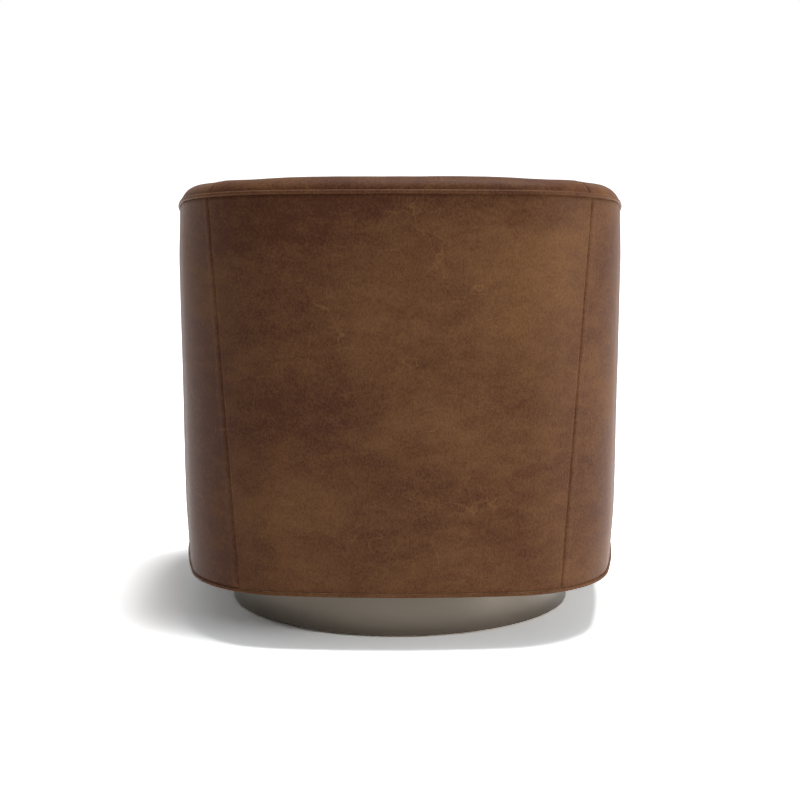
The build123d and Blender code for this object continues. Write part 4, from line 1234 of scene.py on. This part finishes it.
def closed_stack(name, rings):
    """A closed form from rings of the same count, with its ends filled."""
    form = bmesh.new()
    layers = [[form.verts.new(p) for p in ring] for ring in rings]
    size = len(layers[0])
    for lower, upper in zip(layers, layers[1:]):
        for k in range(size):
            form.faces.new((lower[k], lower[(k + 1) % size], upper[(k + 1) % size], upper[k]))
    form.faces.new(list(reversed(layers[0])))
    form.faces.new(layers[-1])
    bmesh.ops.recalc_face_normals(form, faces=form.faces)
    return finish_form(name, form)


def shrunk(ring, share, lift=0.0):
    """A ring drawn towards the middle of the seat."""
    return [(x * share, CUSHION_MIDDLE_Y + (y - CUSHION_MIDDLE_Y) * share, z + lift) for x, y, z in ring]


low, high = CUSHION_BOTTOM, CUSHION_BOTTOM + CUSHION_THICKNESS
edge = 2 * CUSHION_WELT
cushion_rings = [shrunk(cushion_ring(low, 2 * edge), share) for share in (0.2, 0.5, 0.8, 0.95)]
cushion_rings += [
    cushion_ring(low, edge),
    cushion_ring(low + edge, SEAM_INSET),
    cushion_ring(low + 4 * edge, 0.0012),
    cushion_ring((low + high) / 2, 0.0010),
    cushion_ring(high - 4 * edge, 0.0012),
    cushion_ring(high, SEAM_INSET),
]
top_ring = cushion_ring(high, 0.007)
for share in (1.0, 0.96, 0.90, 0.82, 0.72, 0.56, 0.38, 0.18):
    cushion_rings.append(shrunk(top_ring, share, 0.004 + 0.010 * (1 - share ** 2.6)))
cushion = closed_stack("seat_cushion_leather", cushion_rings)
remesh = cushion.modifiers.new("even", "REMESH")
remesh.mode = "VOXEL"
remesh.voxel_size = CUSHION_CELL
apply_all(cushion)

CUSHION_SEAMS = (("top", high), ("bottom", low + edge))
seam_points = []
for _, seam_level in CUSHION_SEAMS:
    seam_points += cushion_ring(seam_level, SEAM_INSET, 220)


def seam_tree(points):
    """Finds the nearest point of the seams."""
    tree = KDTree(len(points))
    for number, point in enumerate(points):
        tree.insert(point, number)
    tree.balance()
    return tree


def swell(pad, seams, top_cap, side_cap):
    """Blows a pad up by cloth simulation, and holds it along its seams."""
    select_only(pad)
    bpy.ops.object.duplicate()
    blown = bpy.context.active_object
    cloth = blown.modifiers.new("cloth", "CLOTH")
    cloth.settings.quality = 6
    cloth.settings.mass = 0.4
    cloth.settings.tension_stiffness = 12
    cloth.settings.compression_stiffness = 12
    cloth.settings.bending_stiffness = 0.6
    cloth.settings.use_pressure = True
    cloth.settings.uniform_pressure_force = 4
    cloth.settings.effector_weights.gravity = 0
    for number in range(1, SWELL_FRAMES + 1):
        bpy.context.scene.frame_set(number)
    shape = blown.evaluated_get(bpy.context.evaluated_depsgraph_get()).to_mesh()
    moved = [v.co.copy() for v in shape.vertices]
    bpy.data.objects.remove(blown)
    bpy.context.scene.frame_set(1)
    tree = seam_tree(seams)
    ways = [v.normal.z for v in pad.data.vertices]
    for v, target, up in zip(pad.data.vertices, moved, ways):
        _, _, near = tree.find(v.co)
        cap = side_cap + (top_cap - side_cap) * max(0.0, up) if up > -0.5 else UNDER_GIVE
        step = target - v.co
        if step.length > 1e-7:
            v.co += step * (min(step.length, cap * ease(near / 0.045)) / step.length)
    pad.data.update()


swell(cushion, seam_points, TOP_SWELL, SIDE_GIVE)


def press_seams(pad, seams, width, depth):
    """Draws a pad in along its seams, as the stitches under the piping do."""
    tree = seam_tree(seams)
    ways = [v.normal.copy() for v in pad.data.vertices]
    for v, way in zip(pad.data.vertices, ways):
        _, _, near = tree.find(v.co)
        if way.z > -0.5 and near < width:
            v.co -= way * depth * (1 - ease(near / width))
    pad.data.update()


finer = cushion.modifiers.new("finer", "SUBSURF")
finer.levels = finer.render_levels = 1
apply_all(cushion)
press_seams(cushion, seam_points, 0.012, 0.0012)
smooth(cushion, 80)
finish_piece(cushion, "seat_cushion", "leather", leather, "cushion_cover", "cushion_wrap", "cushion_core")


def laid_on(pad, ring, rise):
    """A closed line laid on a pad's surface, a little proud of it."""
    laid = []
    for point in ring:
        _, foot, way, _ = pad.closest_point_on_mesh(Vector(point))
        side = Vector((way.x, way.y, 0.35 * way.z)).normalized()
        laid.append(foot + side * rise)
    for _ in range(4):
        laid = [(laid[k - 1] + laid[k] * 2 + laid[(k + 1) % len(laid)]) / 4 for k in range(len(laid))]
    return [tuple(point) for point in laid]


for label, seam_level in CUSHION_SEAMS:
    seam_line = laid_on(cushion, cushion_ring(seam_level, -0.0006, 110), 0.0021)
    cord = tube(f"cushion_piping_{label}", seam_line, CUSHION_WELT, 12, closed=True)
    finish_piece(cord, "seat_cushion", "welt_leather", welt_leather, "cushion_welts")

# ---- Deck and dust cover -----------------------------------------------------------------------
DECK_TOP = 0.2850
FRONT_TUCK = 0.0045  # the deck cloth's front goes this far down under the flap
CLOTH = 0.0010
DUST_TOP = 0.0899
DUST_HOLE = 0.144
DUST_INSET = 0.0118
DUST_FRONT_INSET = 0.0414
ring_shares = [0.06, 0.15] + [0.05 * k for k in range(5, 20)] + [0.975, 1.0]


def ring_sheet(name, rings, close_middle):
    """A flat skin from rings inside one another, the outermost last."""
    form = bmesh.new()
    layers = [[form.verts.new(p) for p in ring] for ring in rings]
    size = len(layers[0])
    for inner, outer in zip(layers, layers[1:]):
        for k in range(size):
            form.faces.new((inner[k], outer[k], outer[(k + 1) % size], inner[(k + 1) % size]))
    if close_middle:
        form.faces.new(layers[0])
    return finish_form(name, form)


def face_way(skin, way):
    """Turns a skin's faces up (1) or down (-1)."""
    if sum(p.normal.z for p in skin.data.polygons) * way < 0:
        skin.data.flip_normals()


deck_ring = whole_ring(well_outline(DECK_TOP, 0.0006, FRONT_RECESS + 0.0026, 0.003, 110), DECK_TOP)
deck_rings = []
for share in ring_shares:
    under_flap = FRONT_TUCK * max(0.0, share - 0.94) / 0.06
    ring = [(x, y, z - (under_flap if y < -0.25 else 0.0)) for x, y, z in shrunk(deck_ring, share)]
    deck_rings.append([(x, y, z + 0.0001 * wrinkle((x, y, z), 26.0, 3.3)) for x, y, z in ring])
deck = ring_sheet("deck_cloth_cover", deck_rings, True)
face_way(deck, 1)
thicken(deck, CLOTH)
finish_piece(deck, "seat_body", "lining_cloth", lining, "deck_cover", "deck_foam")

dust_line = []
for number in range(101):
    distance = mark("wrap", DUST_TOP) * number / 100
    dust_line.append(WallPlan(DUST_TOP).at(distance, DUST_INSET)[0])
dust_half, dust_front = front_edge(DUST_TOP, DUST_FRONT_INSET)
for number in range(30):
    dust_line.append(dust_front(dust_half * (1 - number / 29)))


def reach_to(line, turn):
    """How far a half outline is from the axis in a direction."""
    way = (sin(turn), cos(turn))
    best = 0.0
    for first, second in zip(line, line[1:]):
        step = (second[0] - first[0], second[1] - first[1])
        base = way[0] * step[1] - way[1] * step[0]
        if abs(base) < 1e-12:
            continue
        along = (first[0] * step[1] - first[1] * step[0]) / base
        share = (first[0] * way[1] - first[1] * way[0]) / base
        if along > 0 and -1e-6 <= share <= 1 + 1e-6:
            best = max(best, along)
    return best


DUST_TURNS = 240
DUST_RINGS = 14
DUST_SAG = 0.0016
dust_reach = [reach_to(dust_line, pi * k / (DUST_TURNS / 2)) for k in range(DUST_TURNS // 2 + 1)]
dust_rings = []
for share in [k / DUST_RINGS for k in range(DUST_RINGS + 1)]:
    ring = []
    for k in range(DUST_TURNS):
        turn = 2 * pi * k / DUST_TURNS
        far = dust_reach[min(k, DUST_TURNS - k)]
        reach = DUST_HOLE + (far - DUST_HOLE) * share
        sag = DUST_SAG * sin(pi * share) * (1 + 0.4 * wrinkle((share, turn, 0), 3.0, 1.0))
        ring.append((reach * sin(turn), reach * cos(turn), DUST_TOP - sag))
    dust_rings.append(ring)
dust = ring_sheet("dust_cloth", dust_rings, False)
face_way(dust, -1)
thicken(dust, CLOTH)
finish_piece(dust, "seat_body", "lining_cloth", lining, "dust_cover")

# ---- Plinth ----------------------------------------------------------------------------------------
bpy.ops.object.select_all(action="DESELECT")
bpy.ops.mesh.primitive_cylinder_add(
    vertices=240, radius=PLINTH_RADIUS, depth=PLINTH_HEIGHT, end_fill_type="NOTHING",
    location=(0, 0, PLINTH_LIFT + PLINTH_HEIGHT / 2),
)
skirt = bpy.context.active_object
skirt.name = "plinth_drum"
bpy.ops.object.transform_apply(location=True, rotation=True, scale=True)
bpy.ops.object.mode_set(mode="EDIT")
bpy.ops.mesh.select_all(action="DESELECT")
bpy.ops.object.mode_set(mode="OBJECT")
for rim_edge in skirt.data.edges:
    rim_edge.select = all(skirt.data.vertices[v].co.z > PLINTH_HEIGHT / 2 for v in rim_edge.vertices)
bpy.ops.object.mode_set(mode="EDIT")
bpy.ops.mesh.extrude_region_move()
bpy.ops.transform.resize(value=(PLINTH_LIP, PLINTH_LIP, 1))
bpy.ops.object.mode_set(mode="OBJECT")
bevel = skirt.modifiers.new("soft_rim", "BEVEL")
bevel.width = 0.0008
bevel.segments = 3
bevel.limit_method = "ANGLE"
thicken(skirt, PLINTH_WALL)
smooth(skirt, 30)
finish_piece(skirt, "base", "plinth_metal", plinth_metal, "base_skirt")

# ---- Finishes of the frame's own nodes -----------------------------------------------------------
slots = {entry["node"]: entry["material_slot"] for entry in frame["record"]["subparts"]}
for name, thing in frame["nodes"].items():
    if not thing.hide_render:
        thing.data.materials.clear()
        thing.data.materials.append(NODE_FINISH.get(name) or SLOT_FINISH[slots[name]])
